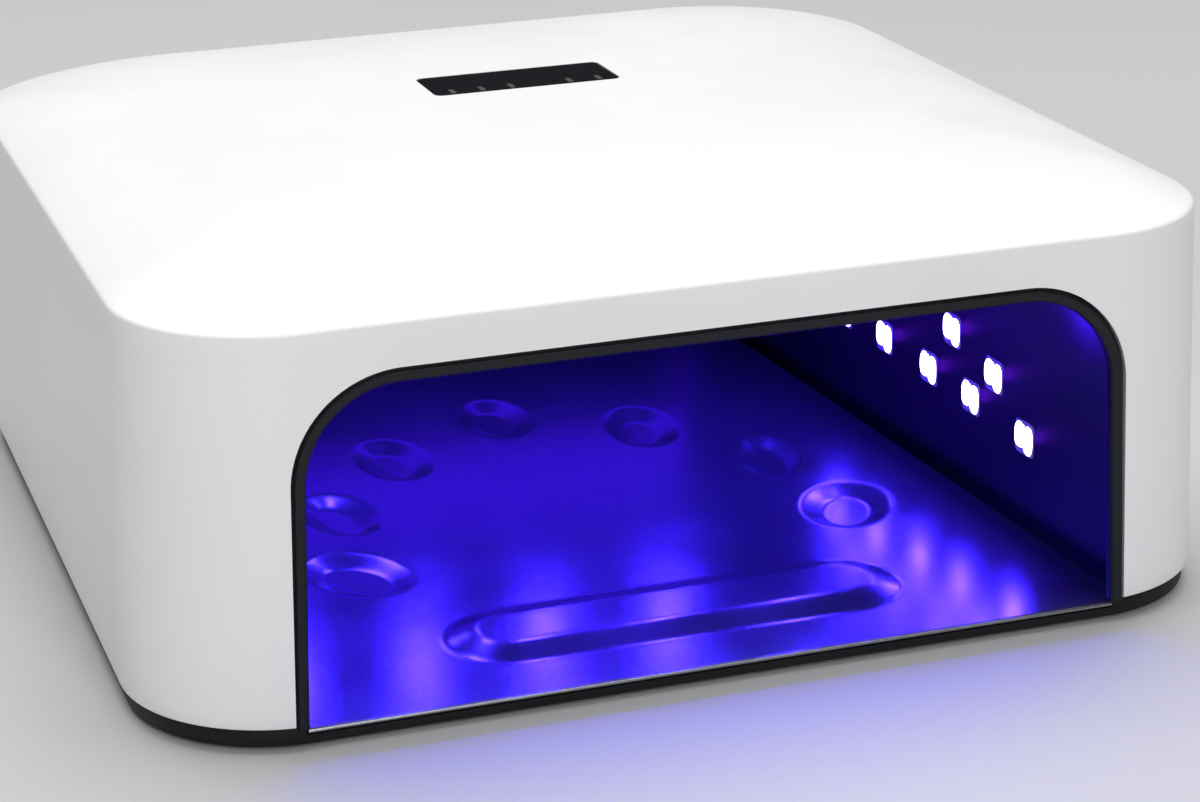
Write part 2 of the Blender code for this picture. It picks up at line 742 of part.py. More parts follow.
def make_display():
    """Gloss window and the digit module under it."""
    top = CROWN_Z
    outline = display_outline(0.0)
    window_mesh = prism_mesh("display_window", outline, top - DISPLAY_THICKNESS, top, 30)
    add_object("display_window", window_mesh, BLACK_GLOSS)
    board_top = CONTROL_BOARD_Z + BOARD_THICKNESS
    under_window = top - DISPLAY_THICKNESS - GAP
    half_x = MODULE_SIZE[0] / 2
    half_y = MODULE_SIZE[1] / 2
    low = (-half_x, MODULE_Y - half_y, board_top + GAP)
    high = (half_x, MODULE_Y + half_y, under_window)
    add_object("display_module", box_mesh("display_module", low, high), DISPLAY_BODY)


def make_touch_strip():
    """Conductive rubber bar with one upright pad under each touch mark."""
    board_top = CONTROL_BOARD_Z + BOARD_THICKNESS
    under_window = CROWN_Z - DISPLAY_THICKNESS - GAP
    half_x, half_y = (size / 2 for size in TOUCH_STRIP_SIZE[:2])
    bar_top = board_top + GAP + TOUCH_STRIP_SIZE[2]
    low = (-half_x, TOUCH_STRIP_Y - half_y, board_top + GAP)
    high = (half_x, TOUCH_STRIP_Y + half_y, bar_top)
    strip = add_object("touch_strip", box_mesh("touch_strip", low, high), TOUCH_RUBBER)
    for number, slot in enumerate(TOUCH_SLOTS, 1):
        name = f"touch_pad_{number}"
        foot = bar_top - TOUCH_STRIP_SIZE[2] / 2
        pad = add_object(name, cylinder_mesh(name, TOUCH_PAD_R, foot, under_window, 10))
        pad.location = (slot * TOUCH_PITCH, TOUCH_STRIP_Y, 0)
        boolean(strip, pad, "UNION")


def make_control_board():
    half_x = CONTROL_BOARD_SIZE[0] / 2
    half_y = CONTROL_BOARD_SIZE[1] / 2
    outline = rounded_outline(
        half_x, CONTROL_BOARD_Y - half_y, CONTROL_BOARD_Y + half_y, 2 * MM, 2 * MM, 2
    )
    top = CONTROL_BOARD_Z + BOARD_THICKNESS
    board_mesh = prism_mesh("control_board", outline, CONTROL_BOARD_Z, top)
    add_object("control_board", board_mesh, CONTROL_BOARD)


def make_jack():
    """Barrel socket behind the rear wall: a block, a round nose and a centre pin."""
    face_y = SHELL_DEPTH / 2 - SIDE_DRAFT * draft_share(JACK_Z) - 0.3 * MM
    body_rear = face_y - SHELL_WALL - 2 * GAP
    half = JACK_BODY[0] / 2
    body_mesh = box_mesh(
        "dc_jack",
        (-half, body_rear - JACK_BODY[1], JACK_Z - JACK_BODY[2] / 2),
        (half, body_rear, JACK_Z + JACK_BODY[2] / 2),
    )
    jack = add_object("dc_jack", body_mesh, BLACK_PLASTIC)
    nose = add_object("jack_nose", cylinder_mesh("jack_nose", JACK_NOSE_R, 0, 6 * MM, 20))
    socket_mesh = cylinder_mesh("jack_socket", JACK_SOCKET_R, -1 * MM, JACK_SOCKET_DEPTH, 16)
    socket = add_object("jack_socket", socket_mesh)
    pin = add_object("jack_pin", cylinder_mesh("jack_pin", JACK_PIN_R, -5 * MM, 20 * MM, 10))
    for item in (nose, socket, pin):
        item.location = (0, face_y, JACK_Z)
        item.rotation_euler = (math.radians(90), 0, 0)
    boolean(socket, pin)
    boolean(jack, nose, "UNION")
    boolean(jack, socket)


def add_lead(name, points):
    curve = bpy.data.curves.new(name, "CURVE")
    curve.dimensions = "3D"
    curve.bevel_depth = LEAD_R
    curve.bevel_resolution = 1
    curve.use_fill_caps = True
    spline = curve.splines.new("POLY")
    route = smooth_route(points)
    spline.points.add(len(route) - 1)
    for spot, place in zip(spline.points, route):
        spot.co = (*place, 1.0)
    curve.materials.append(LEAD_SLEEVE)
    lead = bpy.data.objects.new(name, curve)
    PARTS.objects.link(lead)


def make_leads():
    """Supply leads from the control board to each LED board, and from the jack."""
    board_top = CONTROL_BOARD_Z + BOARD_THICKNESS + GAP + LEAD_R
    board_under = CONTROL_BOARD_Z - GAP - LEAD_R
    stand_off = -BOARD_FACE + BOARD_THICKNESS + GAP + LEAD_R
    for side, name in SIDES:
        start_x = cavity_half_width(12 * MM) + stand_off + 0.3 * MM
        route = (
            (side * start_x, 12 * MM, 40 * MM),
            (side * (start_x + 2 * MM), 12 * MM, 54 * MM),
            (side * 84 * MM, 14 * MM, 72 * MM),
            (side * 62 * MM, 18 * MM, 83 * MM),
            (side * 38 * MM, 20 * MM, board_top),
            (side * 30 * MM, 20 * MM, board_top),
        )
        add_lead(f"lead_{name}", route)
    top_z = cavity_top(30 * MM) + stand_off + 0.4 * MM
    add_lead(
        "lead_top",
        (
            (-20 * MM, 34 * MM, top_z - 0.2 * MM),
            (-20 * MM, 30 * MM, top_z),
            (-19 * MM, 24 * MM, 76 * MM),
            (-18 * MM, 18 * MM, board_under - 0.2 * MM),
            (-18 * MM, 12 * MM, board_under),
        ),
    )
    add_lead(
        "lead_power",
        (
            (0, 103 * MM, JACK_Z + JACK_BODY[2] / 2 + GAP),
            (0, 103.5 * MM, 42 * MM),
            (0, 102 * MM, 64 * MM),
            (0, 90 * MM, 79 * MM),
            (0, 66 * MM, 85.5 * MM),
            (0, 44 * MM, board_top),
            (0, 38 * MM, board_top),
        ),
    )


# ---------------------------------------------------------------- bottom frame and hardware

def make_bottom_frame():
    """Flat ring that closes the gap between the shell and the reflector, open at the front."""
    top = LAMP_BASE_Z + FRAME_HEIGHT
    outline = shell_outline(0.0, 0.0, 0.0, FRAME_INSET)
    frame_mesh = prism_mesh("bottom_frame", outline, LAMP_BASE_Z, top, 30)
    frame = add_object("bottom_frame", frame_mesh, BLACK_PLASTIC)
    clear = REFLECTOR_WALL + GAP
    cut_front = -SHELL_DEPTH / 2 - 10 * MM
    cavity = add_object("frame_opening", cavity_mesh("frame_opening", clear, cut_front, -5 * MM))
    boolean(frame, cavity)
    trim_room = box_mesh(
        "trim_room",
        (-OPENING_BASE_HALF - TRIM_FLANGE - GAP, -SHELL_DEPTH / 2 - 5 * MM, 0),
        (OPENING_BASE_HALF + TRIM_FLANGE + GAP, CAVITY_FRONT_Y, 20 * MM),
    )
    boolean(frame, add_object("trim_room", trim_room))
    for label, x, y in mirrored(MAGNET_POINTS):
        name = f"pocket_{label}"
        depth = LAMP_BASE_Z + MAGNET_THICKNESS + GAP
        pocket = add_object(name, cylinder_mesh(name, MAGNET_R + GAP, 0, depth, 20))
        pocket.location = (x, y, 0)
        boolean(frame, pocket)
    for label, x, y in mirrored(SCREW_POINTS):
        head_depth = LAMP_BASE_Z + SCREW_HEAD_HEIGHT + 2 * GAP
        for name, radius, high in (
            (f"counterbore_{label}", SCREW_HEAD_R + GAP, head_depth),
            (f"frame_hole_{label}", SCREW_SHANK_R + GAP, 20 * MM),
        ):
            hole = add_object(name, cylinder_mesh(name, radius, 0, high, 16))
            hole.location = (x, y, 0)
            boolean(frame, hole)


def make_magnets():
    profile = (
        (0.0, MAGNET_THICKNESS),
        (MAGNET_R - 0.3 * MM, MAGNET_THICKNESS),
        (MAGNET_R, MAGNET_THICKNESS - 0.3 * MM),
        (MAGNET_R, 0.0),
        (0.0, 0.0),
    )
    for label, x, y in mirrored(MAGNET_POINTS):
        magnet = turned_part(f"magnet_{label}", profile, NICKEL)
        magnet.location = (x, y, LAMP_BASE_Z)


def make_screws():
    profile = (
        (0.0, SCREW_LENGTH),
        (SCREW_SHANK_R * 0.6, SCREW_LENGTH),
        (SCREW_SHANK_R, SCREW_LENGTH - 1.5 * MM),
        (SCREW_SHANK_R, SCREW_HEAD_HEIGHT),
        (SCREW_HEAD_R, SCREW_HEAD_HEIGHT),
        (SCREW_HEAD_R, 0.5 * MM),
        (SCREW_HEAD_R - 0.6 * MM, 0.0),
        (0.0, 0.0),
    )
    for label, x, y in mirrored(SCREW_POINTS):
        screw = turned_part(f"screw_{label}", profile, NICKEL, 14)
        screw.location = (x, y, LAMP_BASE_Z + GAP)


# ---------------------------------------------------------------- tray, feet and steel plate

def make_tray():
    """Black tray: a rim round the sides and rear, a ledge for the plate, a low front rail."""
    tray_mesh = prism_mesh(
        "tray_frame", shell_outline(0.0, 0.0, 0.0, TRAY_INSET), TRAY_BASE_Z, TRAY_RIM_Z, 30
    )
    tray = add_object("tray_frame", tray_mesh, BLACK_PLASTIC)
    recess_outline = shell_outline(0.0, 0.0, 0.0, TRAY_INSET + TRAY_RIM_WIDTH)
    recess = prism_mesh("plate_recess", recess_outline, TRAY_LEDGE_Z, 20 * MM)
    boolean(tray, add_object("plate_recess", recess))
    window_outline = rounded_outline(
        TRAY_WINDOW_HALF, -TRAY_WINDOW_HALF, TRAY_WINDOW_HALF, TRAY_WINDOW_R, TRAY_WINDOW_R
    )
    window = prism_mesh("tray_window", window_outline, -5 * MM, 10 * MM)
    boolean(tray, add_object("tray_window", window))
    front_gap = box_mesh(
        "front_gap",
        (-OPENING_BASE_HALF, -SHELL_DEPTH / 2 - 5 * MM, TRAY_LEDGE_Z),
        (OPENING_BASE_HALF, -SHELL_DEPTH / 2 + 12 * MM, 25 * MM),
    )
    boolean(tray, add_object("front_gap", front_gap))
    for label, x, y in mirrored(FOOT_POINTS):
        name = f"foot_pocket_{label}"
        pocket = add_object(name, cylinder_mesh(name, FOOT_R + GAP, -5 * MM, FOOT_HEIGHT + GAP, 20))
        pocket.location = (x, y, 0)
        boolean(tray, pocket)


def make_feet():
    profile = (
        (0.0, FOOT_HEIGHT),
        (FOOT_R, FOOT_HEIGHT),
        (FOOT_R, 0.4 * MM),
        (FOOT_R - 0.5 * MM, 0.0),
        (0.0, 0.0),
    )
    for label, x, y in mirrored(FOOT_POINTS):
        foot = turned_part(f"foot_{label}", profile, RUBBER)
        foot.location = (x, y, 0)


def oval_section(centre, lean, half_width, half_length, z):
    """Ellipse whose long axis leans outward from +Y by an angle in degrees."""
    section = []
    turn = Matrix.Rotation(-math.radians(lean), 2)
    for i in range(OVAL_STEPS):
        angle = 2 * math.pi * i / OVAL_STEPS
        offset = turn @ Vector((half_width * math.cos(angle), half_length * math.sin(angle)))
        section.append((centre[0] + offset.x, centre[1] + offset.y, z))
    return section


def dimple_places():
    places = [(0.0, MIDDLE_DIMPLE_Y, 0.0, 0.0)]
    for x, y, lean, widening in DIMPLES:
        places += [(side * x, y, side * lean, widening) for side, _ in SIDES]
    return places


def add_dimple(plate, number, place):
    """Press a finger dimple down: add its cup under the sheet, then hollow it from above."""
    x, y, lean, widening = place
    profile = [(width + widening, length, depth) for width, length, depth in DIMPLE_PROFILE]
    mouth_z = PLATE_TOP_Z + SHEET_OVERLAP
    mouth = [size + SHEET_OVERLAP for size in profile[0][:2]]
    rim_z = PLATE_TOP_Z - SHEET_OVERLAP
    rim = [size + PRESS_SPREAD + SHEET_OVERLAP for size in profile[0][:2]]
    hollow = [oval_section((x, y), lean, *mouth, mouth_z)]
    cup = [oval_section((x, y), lean, *rim, rim_z)]
    for half_width, half_length, depth in profile[1:]:
        z = PLATE_TOP_Z - depth
        hollow.append(oval_section((x, y), lean, half_width, half_length, z))
        grown = (half_width + PRESS_SPREAD, half_length + PRESS_SPREAD)
        cup.append(oval_section((x, y), lean, *grown, z - PLATE_THICKNESS))
    for name, sections, operation in (
        (f"dimple_cup_{number}", cup, "UNION"),
        (f"dimple_cut_{number}", hollow, "DIFFERENCE"),
    ):
        boolean(plate, add_object(name, loft_mesh(name, sections)), operation)


def rest_section(half_length, half_depth, z):
    return [(x, y + REST_Y, z) for x, y in stadium_outline(half_length, half_depth)]


def add_rest(plate):
    """Press the long hand rest up: add it over the sheet, then hollow it from below."""
    length, depth, _ = REST_PROFILE[0]
    rise = [rest_section(length + SHEET_OVERLAP, depth + SHEET_OVERLAP, PLATE_TOP_Z - SHEET_OVERLAP)]
    under_z = PLATE_TOP_Z - PLATE_THICKNESS - SHEET_OVERLAP
    hollow = [rest_section(length - GAP, depth - GAP, under_z)]
    for half_length, half_depth, height in REST_PROFILE[1:]:
        z = PLATE_TOP_Z + height
        rise.append(rest_section(half_length, half_depth, z))
        slim = (half_length - PRESS_SPREAD, half_depth - PRESS_SPREAD)
        hollow.append(rest_section(*slim, z - PLATE_THICKNESS))
    boolean(plate, add_object("rest_rise", loft_mesh("rest_rise", rise)), "UNION")
    boolean(plate, add_object("rest_hollow", loft_mesh("rest_hollow", hollow)))


def make_plate():
    """Pressed steel floor plate with seven finger dimples and a raised hand rest."""
    low = PLATE_TOP_Z - PLATE_THICKNESS
    outline = shell_outline(0.0, 0.0, 0.0, FRAME_INSET)
    plate_mesh = prism_mesh("base_plate", outline, low, PLATE_TOP_Z, 30)
    plate = add_object("base_plate", plate_mesh, STEEL)
    tongue = box_mesh(
        "plate_tongue",
        (-OPENING_BASE_HALF + GAP, -SHELL_DEPTH / 2 + PLATE_FRONT_SETBACK, low),
        (OPENING_BASE_HALF - GAP, -SHELL_DEPTH / 2 + 12 * MM, PLATE_TOP_Z),
    )
    boolean(plate, add_object("plate_tongue", tongue), "UNION")
    for number, place in enumerate(dimple_places(), 1):
        add_dimple(plate, number, place)
    add_rest(plate)


make_shell()
make_trim()
make_reflector()
make_beads()
make_led_boards()
make_hand_sensor()
make_display()
make_touch_strip()
make_control_board()
make_jack()
make_leads()
make_bottom_frame()
make_magnets()
make_screws()
make_tray()
make_feet()
make_plate()
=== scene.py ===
"""Looks of the UV LED nail lamp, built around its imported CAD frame.

Metres, +Z up, hand opening towards -Y. Pieces are modelled where the CAD solids are and ride on
the same bodies: "tray" stays on the table and "lamp" lifts off it.
"""

import json
import math

import bmesh
import bpy
import numpy as np
from mathutils import Matrix, Vector

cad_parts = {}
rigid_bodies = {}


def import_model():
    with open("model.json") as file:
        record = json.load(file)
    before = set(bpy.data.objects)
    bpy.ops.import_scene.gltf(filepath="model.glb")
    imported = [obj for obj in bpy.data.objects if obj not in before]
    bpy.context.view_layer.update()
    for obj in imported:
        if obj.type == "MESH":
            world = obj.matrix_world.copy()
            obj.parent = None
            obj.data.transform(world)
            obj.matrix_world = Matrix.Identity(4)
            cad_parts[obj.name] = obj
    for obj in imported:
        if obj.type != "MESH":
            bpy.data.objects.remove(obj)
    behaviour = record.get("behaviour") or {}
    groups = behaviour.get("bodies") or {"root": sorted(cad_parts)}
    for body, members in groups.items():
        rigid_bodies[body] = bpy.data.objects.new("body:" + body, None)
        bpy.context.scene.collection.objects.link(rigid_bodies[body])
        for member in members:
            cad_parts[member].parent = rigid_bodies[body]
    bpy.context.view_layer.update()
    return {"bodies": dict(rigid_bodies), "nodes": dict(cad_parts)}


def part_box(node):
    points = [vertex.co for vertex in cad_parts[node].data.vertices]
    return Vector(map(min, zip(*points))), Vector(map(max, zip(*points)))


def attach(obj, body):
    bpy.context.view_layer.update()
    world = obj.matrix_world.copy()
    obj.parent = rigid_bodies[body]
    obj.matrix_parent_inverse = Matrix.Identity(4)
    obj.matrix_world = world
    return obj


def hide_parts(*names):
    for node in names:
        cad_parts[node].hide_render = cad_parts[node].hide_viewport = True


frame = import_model()

MM = 0.001
SIDES = ((1, "right"), (-1, "left"))
ENDS = ("front", "rear")


def node_box(node):
    low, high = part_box(node)
    return np.array(low), np.array(high)


# ---------------------------------------------------------------- sizes read from the frame

SHELL_LOW, SHELL_HIGH = node_box("top_shell")
TRIM_LOW, TRIM_HIGH = node_box("opening_trim")
REFLECTOR_LOW, REFLECTOR_HIGH = node_box("reflector")
PLATE_LOW, PLATE_HIGH = node_box("base_plate")
TRAY_LOW, TRAY_HIGH = node_box("tray_frame")
WINDOW_LOW, WINDOW_HIGH = node_box("display_window")
JACK_LOW, JACK_HIGH = node_box("dc_jack")

# Shell
HALF_WIDTH = SHELL_HIGH[0]
HALF_DEPTH = -SHELL_LOW[1]
SHELL_BASE_Z = SHELL_LOW[2]
CROWN_Z = SHELL_HIGH[2]
SHELL_WALL = 2.5 * MM
SIDE_DRAFT = 2.4 * MM
FRONT_DRAFT = 1.5 * MM
FRONT_CORNER_R = 31 * MM
REAR_CORNER_R = 37.8 * MM
CROWN_CORNER_R = 22 * MM
DOME_RUN = 85 * MM
DOME_SHOULDER_RISE = 3.9 * MM
DOME_SHOULDER_RUN = 12 * MM
DOME_CROWN_RISE = 7.2 * MM
CREASE_Z = CROWN_Z - DOME_SHOULDER_RISE - DOME_CROWN_RISE
CREASE_FILLET = 0.8 * MM
SHELL_LIP = 0.5 * MM               # rounding of the shell's lower edge

# Opening and cavity
GAP = 0.3 * MM
OPENING_BASE_HALF = 87.25 * MM
OPENING_TOP_HALF = 85.55 * MM
OPENING_TOP_Z = 73.7 * MM
OPENING_CORNER_R = 21.9 * MM
TRIM_THICKNESS = 2.8 * MM
TRIM_FLANGE = 6.0 * MM
LAMP_BASE_Z = TRIM_LOW[2]
CAVITY_FRONT_Y = REFLECTOR_LOW[1]
REFLECTOR_WALL = 1.8 * MM
CAVITY_FRONT_HALF = REFLECTOR_HIGH[0] - REFLECTOR_WALL
CAVITY_FRONT_TOP_Z = REFLECTOR_HIGH[2] - REFLECTOR_WALL
CAVITY_TAPER = 0.066
CAVITY_CORNER_R = 20 * MM
CAVITY_REAR_Y = 93 * MM
CAVITY_REAR_R = 26 * MM

# Rear wall
VENT_COUNT = 6
VENT_PITCH = 7 * MM
VENT_X = 38 * MM
VENT_Z = 24 * MM
VENT_HALF = (1.2 * MM, 8 * MM)
JACK_HOLE_R = 4.8 * MM

# Tray and plate
TRAY_INSET = 1.2 * MM
TRAY_LEDGE_INSET = 3.2 * MM
TRAY_LEDGE_Z = 2.9 * MM
PLATE_INSET = 3.5 * MM
PLATE_TOP_Z = 4.2 * MM
PLATE_THICKNESS = 1.0 * MM
TONGUE_HALF = OPENING_BASE_HALF - TRIM_THICKNESS + GAP

# Far enough to cut right through a piece
BELOW = -5 * MM
ABOVE = 20 * MM


# ---------------------------------------------------------------- object helpers

def add_object(name, mesh):
    item = bpy.data.objects.new(name, mesh)
    bpy.context.scene.collection.objects.link(item)
    return item


def mesh_from(bm, name, sharp_angle=35):
    bmesh.ops.recalc_face_normals(bm, faces=bm.faces)
    mesh = bpy.data.meshes.new(name)
    bm.to_mesh(mesh)
    bm.free()
    mesh.shade_smooth()
    mesh.set_sharp_from_angle(angle=math.radians(sharp_angle))
    return mesh


def bridge(bm, rings, closed=True):
    """Faces between neighbouring rings with equal point counts."""
    count = len(rings[0])
    spans = count if closed else count - 1
    for lower, upper in zip(rings, rings[1:]):
        for i in range(spans):
            j = (i + 1) % count
            bm.faces.new((lower[i], lower[j], upper[j], upper[i]))


def add_body(bm, sections):
    """Closed body through rings of points, with a face on each end."""
    rings = [[bm.verts.new(point) for point in ring] for ring in sections]
    bridge(bm, rings)
    bm.faces.new(list(reversed(rings[0])))
    bm.faces.new(rings[-1])


def loft(name, sections, sharp_angle=35):
    bm = bmesh.new()
    add_body(bm, sections)
    return mesh_from(bm, name, sharp_angle)


def upright(outline, levels):
    """The same outline in X and Y at several heights."""
    return [[(x, y, z) for x, y in outline] for z in levels]


def evaluated_mesh(item):
    bpy.context.view_layer.update()
    graph = bpy.context.evaluated_depsgraph_get()
    return bpy.data.meshes.new_from_object(item.evaluated_get(graph), depsgraph=graph)


def bake_modifiers(item, sharp_angle=35):
    """Replace an object's mesh by its evaluated one and drop its modifiers."""
    mesh = evaluated_mesh(item)
    item.modifiers.clear()
    old = item.data
    item.data = mesh
    bpy.data.meshes.remove(old)
    mesh.shade_smooth()
    mesh.set_sharp_from_angle(angle=math.radians(sharp_angle))


def cut(item, cutter_mesh):
    cutter = add_object("cutter", cutter_mesh)
    modifier = item.modifiers.new("cut", "BOOLEAN")
    modifier.operation = "DIFFERENCE"
    modifier.solver = "EXACT"
    modifier.object = cutter
    bake_modifiers(item)
    bpy.data.objects.remove(cutter)
    bpy.data.meshes.remove(cutter_mesh)


def place(item, body, slot, material, *nodes):
    """Give a finished piece its material and body, and hide the CAD nodes it stands for. The record
    slot is not used.
    """
    item.data.materials.clear()
    item.data.materials.append(material)
    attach(item, body)
    if nodes:
        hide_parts(*nodes)
    return item


# ---------------------------------------------------------------- outline helpers

def arc_points(centre, radius, start, end, steps):
    angles = np.radians(np.linspace(start, end, steps + 1))
    return [(centre[0] + radius * math.cos(a), centre[1] + radius * math.sin(a)) for a in angles]


def run_points(start, end, steps):
    """Points strictly between two ends of a straight run."""
    shares = np.linspace(0, 1, steps + 1)[1:-1]
    return [(start[0] + (end[0] - start[0]) * s, start[1] + (end[1] - start[1]) * s) for s in shares]


def rounded_outline(half_width, front, rear, front_r, rear_r, steps=20, runs=1):
    """Rectangle with rounded corners, anticlockwise from the front left."""
    corners = (
        arc_points((-half_width + front_r, front + front_r), front_r, 180, 270, steps),
        arc_points((half_width - front_r, front + front_r), front_r, 270, 360, steps),
        arc_points((half_width - rear_r, rear - rear_r), rear_r, 0, 90, steps),
        arc_points((-half_width + rear_r, rear - rear_r), rear_r, 90, 180, steps),
    )
    outline = []
    for corner, following in zip(corners, corners[1:] + corners[:1]):
        outline += corner + run_points(corner[-1], following[0], runs)
    return outline


def shell_outline(side_inset, front_inset, dome_inset=0.0, wall=0.0, steps=20, runs=1):
    blend = dome_inset / DOME_RUN
    return rounded_outline(
        HALF_WIDTH - side_inset - dome_inset - wall,
        -HALF_DEPTH + front_inset + dome_inset + wall,
        HALF_DEPTH - side_inset - dome_inset - wall,
        FRONT_CORNER_R + (CROWN_CORNER_R - FRONT_CORNER_R) * blend - wall,
        REAR_CORNER_R + (CROWN_CORNER_R - REAR_CORNER_R) * blend - wall,
        steps,
        runs,
    )


def draft_share(z):
    return (z - SHELL_BASE_Z) / (CREASE_Z - SHELL_BASE_Z)


def front_lean(z):
    return FRONT_DRAFT * draft_share(z)


def dome_rise(inset):
    shoulder = DOME_SHOULDER_RISE * (1 - math.exp(-inset / DOME_SHOULDER_RUN))
    crown = DOME_CROWN_RISE * (1 - (1 - inset / DOME_RUN) ** 2)
    return shoulder + crown


def arch(low, high, top, radius, base_z, steps, leg_steps, top_steps):
    """Arch in X and Z: half widths at foot and top, from the left foot over to the right."""
    feet = (-low, base_z), (low, base_z)
    left = arc_points((-high + radius, top - radius), radius, 180, 90, steps)
    right = arc_points((high - radius, top - radius), radius, 90, 0, steps)
    path = [feet[0]] + run_points(feet[0], left[0], leg_steps) + left
    path += run_points(left[-1], right[0], top_steps) + right
    path += run_points(right[-1], feet[1], leg_steps) + [feet[1]]
    return path


def arch_path(offset, base_z, steps=20, leg_steps=1, top_steps=1):
    """Outline of the hand opening, grown by an offset."""
    low, high, top, radius = (
        size + offset
        for size in (OPENING_BASE_HALF, OPENING_TOP_HALF, OPENING_TOP_Z, OPENING_CORNER_R)
    )
    return arch(low, high, top, radius, base_z, steps, leg_steps, top_steps)


def cavity_half_width(y):
    return CAVITY_FRONT_HALF - CAVITY_TAPER * (y - CAVITY_FRONT_Y)


def cavity_top(y):
    return CAVITY_FRONT_TOP_Z - CAVITY_TAPER * (y - CAVITY_FRONT_Y)


def wall_matrix(side):
    """Frame on a cavity wall at mid-depth: Z points into the cavity and Y points up."""
    slope = math.atan(CAVITY_TAPER)
    inward = Vector((-side * math.cos(slope), -math.sin(slope), 0))
    up = Vector((0, 0, 1))
    along = up.cross(inward)
    rotation = Matrix((along, up, inward)).transposed().to_4x4()
    return Matrix.Translation((side * cavity_half_width(0), 0, 0)) @ rotation


def ceiling_matrix():
    """Frame on the ceiling at mid-depth: Z points down and X stays X."""
    slope = math.atan(CAVITY_TAPER)
    down = Vector((0, -math.sin(slope), -math.cos(slope)))
    across = Vector((1, 0, 0))
    along = down.cross(across)
    rotation = Matrix((across, along, down)).transposed().to_4x4()
    return Matrix.Translation((0, 0, cavity_top(0))) @ rotation


WALL_FRAMES = {side: wall_matrix(side) for side, _ in SIDES}
CEILING_FRAME = ceiling_matrix()


def bead_places():
    """Name and frame of every LED bead, set out from the middle of its CAD node."""
    frames = {"right": WALL_FRAMES[1], "left": WALL_FRAMES[-1], "top": CEILING_FRAME}
    places = []
    for node in sorted(frame["nodes"]):
        if not node.startswith("led_bead_"):
            continue
        wall = frames[node.split("_")[2]]
        low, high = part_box(node)
        local = wall.inverted() @ ((low + high) / 2)
        places.append((node, wall @ Matrix.Translation((local.x, local.y, 0))))
    return places


BEADS = bead_places()


# ---------------------------------------------------------------- materials

def new_material(name):
    material = bpy.data.materials.new(name)
    material.use_nodes = True
    tree = material.node_tree
    return material, tree.nodes, tree.links, tree.nodes["Principled BSDF"]


def object_noise(nodes, links, scale, detail):
    coordinates = nodes.new("ShaderNodeTexCoord")
    noise = nodes.new("ShaderNodeTexNoise")
    noise.inputs["Scale"].default_value = scale
    noise.inputs["Detail"].default_value = detail
    links.new(coordinates.outputs["Object"], noise.inputs["Vector"])
    return noise.outputs["Fac"]


def map_range(nodes, links, value, low, high):
    node = nodes.new("ShaderNodeMapRange")
    node.inputs["From Min"].default_value = 0.3
    node.inputs["From Max"].default_value = 0.7
    node.inputs["To Min"].default_value = low
    node.inputs["To Max"].default_value = high
    links.new(value, node.inputs["Value"])
    return node.outputs["Result"]


def blend_colours(nodes, links, factor, first, second):
    ramp = nodes.new("ShaderNodeValToRGB")
    ramp.color_ramp.elements[0].position = 0.3
    ramp.color_ramp.elements[1].position = 0.7
    ramp.color_ramp.elements[0].color = (*first, 1)
    ramp.color_ramp.elements[1].color = (*second, 1)
    links.new(factor, ramp.inputs["Fac"])
    return ramp.outputs["Color"]


def add_bump(nodes, links, shader, height, distance, strength=1.0, under=None):
    bump = nodes.new("ShaderNodeBump")
    bump.inputs["Distance"].default_value = distance
    bump.inputs["Strength"].default_value = strength
    links.new(height, bump.inputs["Height"])
    if under is not None:
        links.new(under, bump.inputs["Normal"])
    links.new(bump.outputs["Normal"], shader.inputs["Normal"])
    return bump.outputs["Normal"]


def moulded_plastic(
    name, dark, light, roughness, grain=1400, depth=0.00001, coat=0.0, specular=0.5
):
    """Plastic with a faint uneven tone, a fine moulded grain and slow waviness."""
    material, nodes, links, shader = new_material(name)
    tone = object_noise(nodes, links, 18, 2)
    links.new(blend_colours(nodes, links, tone, dark, light), shader.inputs["Base Color"])
    wear = object_noise(nodes, links, 60, 4)
    rough = map_range(nodes, links, wear, roughness[0], roughness[1])
    links.new(rough, shader.inputs["Roughness"])
    waves = object_noise(nodes, links, 35, 1)
    under = add_bump(nodes, links, shader, waves, depth * 3, 0.3)
    fine = object_noise(nodes, links, grain, 2)
    add_bump(nodes, links, shader, fine, depth, 0.8, under)
    shader.inputs["Coat Weight"].default_value = coat
    shader.inputs["Coat Roughness"].default_value = 0.08
    shader.inputs["Specular IOR Level"].default_value = specular
    return material


def fading(nodes, links, axis, start, end, least, most=1.0):
    """Value that eases from most to least between two places along one of the object's axes."""
    coordinates = nodes.new("ShaderNodeTexCoord")
    split = nodes.new("ShaderNodeSeparateXYZ")
    node = nodes.new("ShaderNodeMapRange")
    node.interpolation_type = "SMOOTHSTEP"
    node.inputs["From Min"].default_value = start
    node.inputs["From Max"].default_value = end
    node.inputs["To Min"].default_value = most
    node.inputs["To Max"].default_value = least
    links.new(coordinates.outputs["Object"], split.inputs["Vector"])
    links.new(split.outputs[axis], node.inputs["Value"])
    return node.outputs["Result"]


def scaled(nodes, links, colour, share):
    node = nodes.new("ShaderNodeVectorMath")
    node.operation = "SCALE"
    links.new(colour, node.inputs["Vector"])
    links.new(share, node.inputs["Scale"])
    return node.outputs["Vector"]


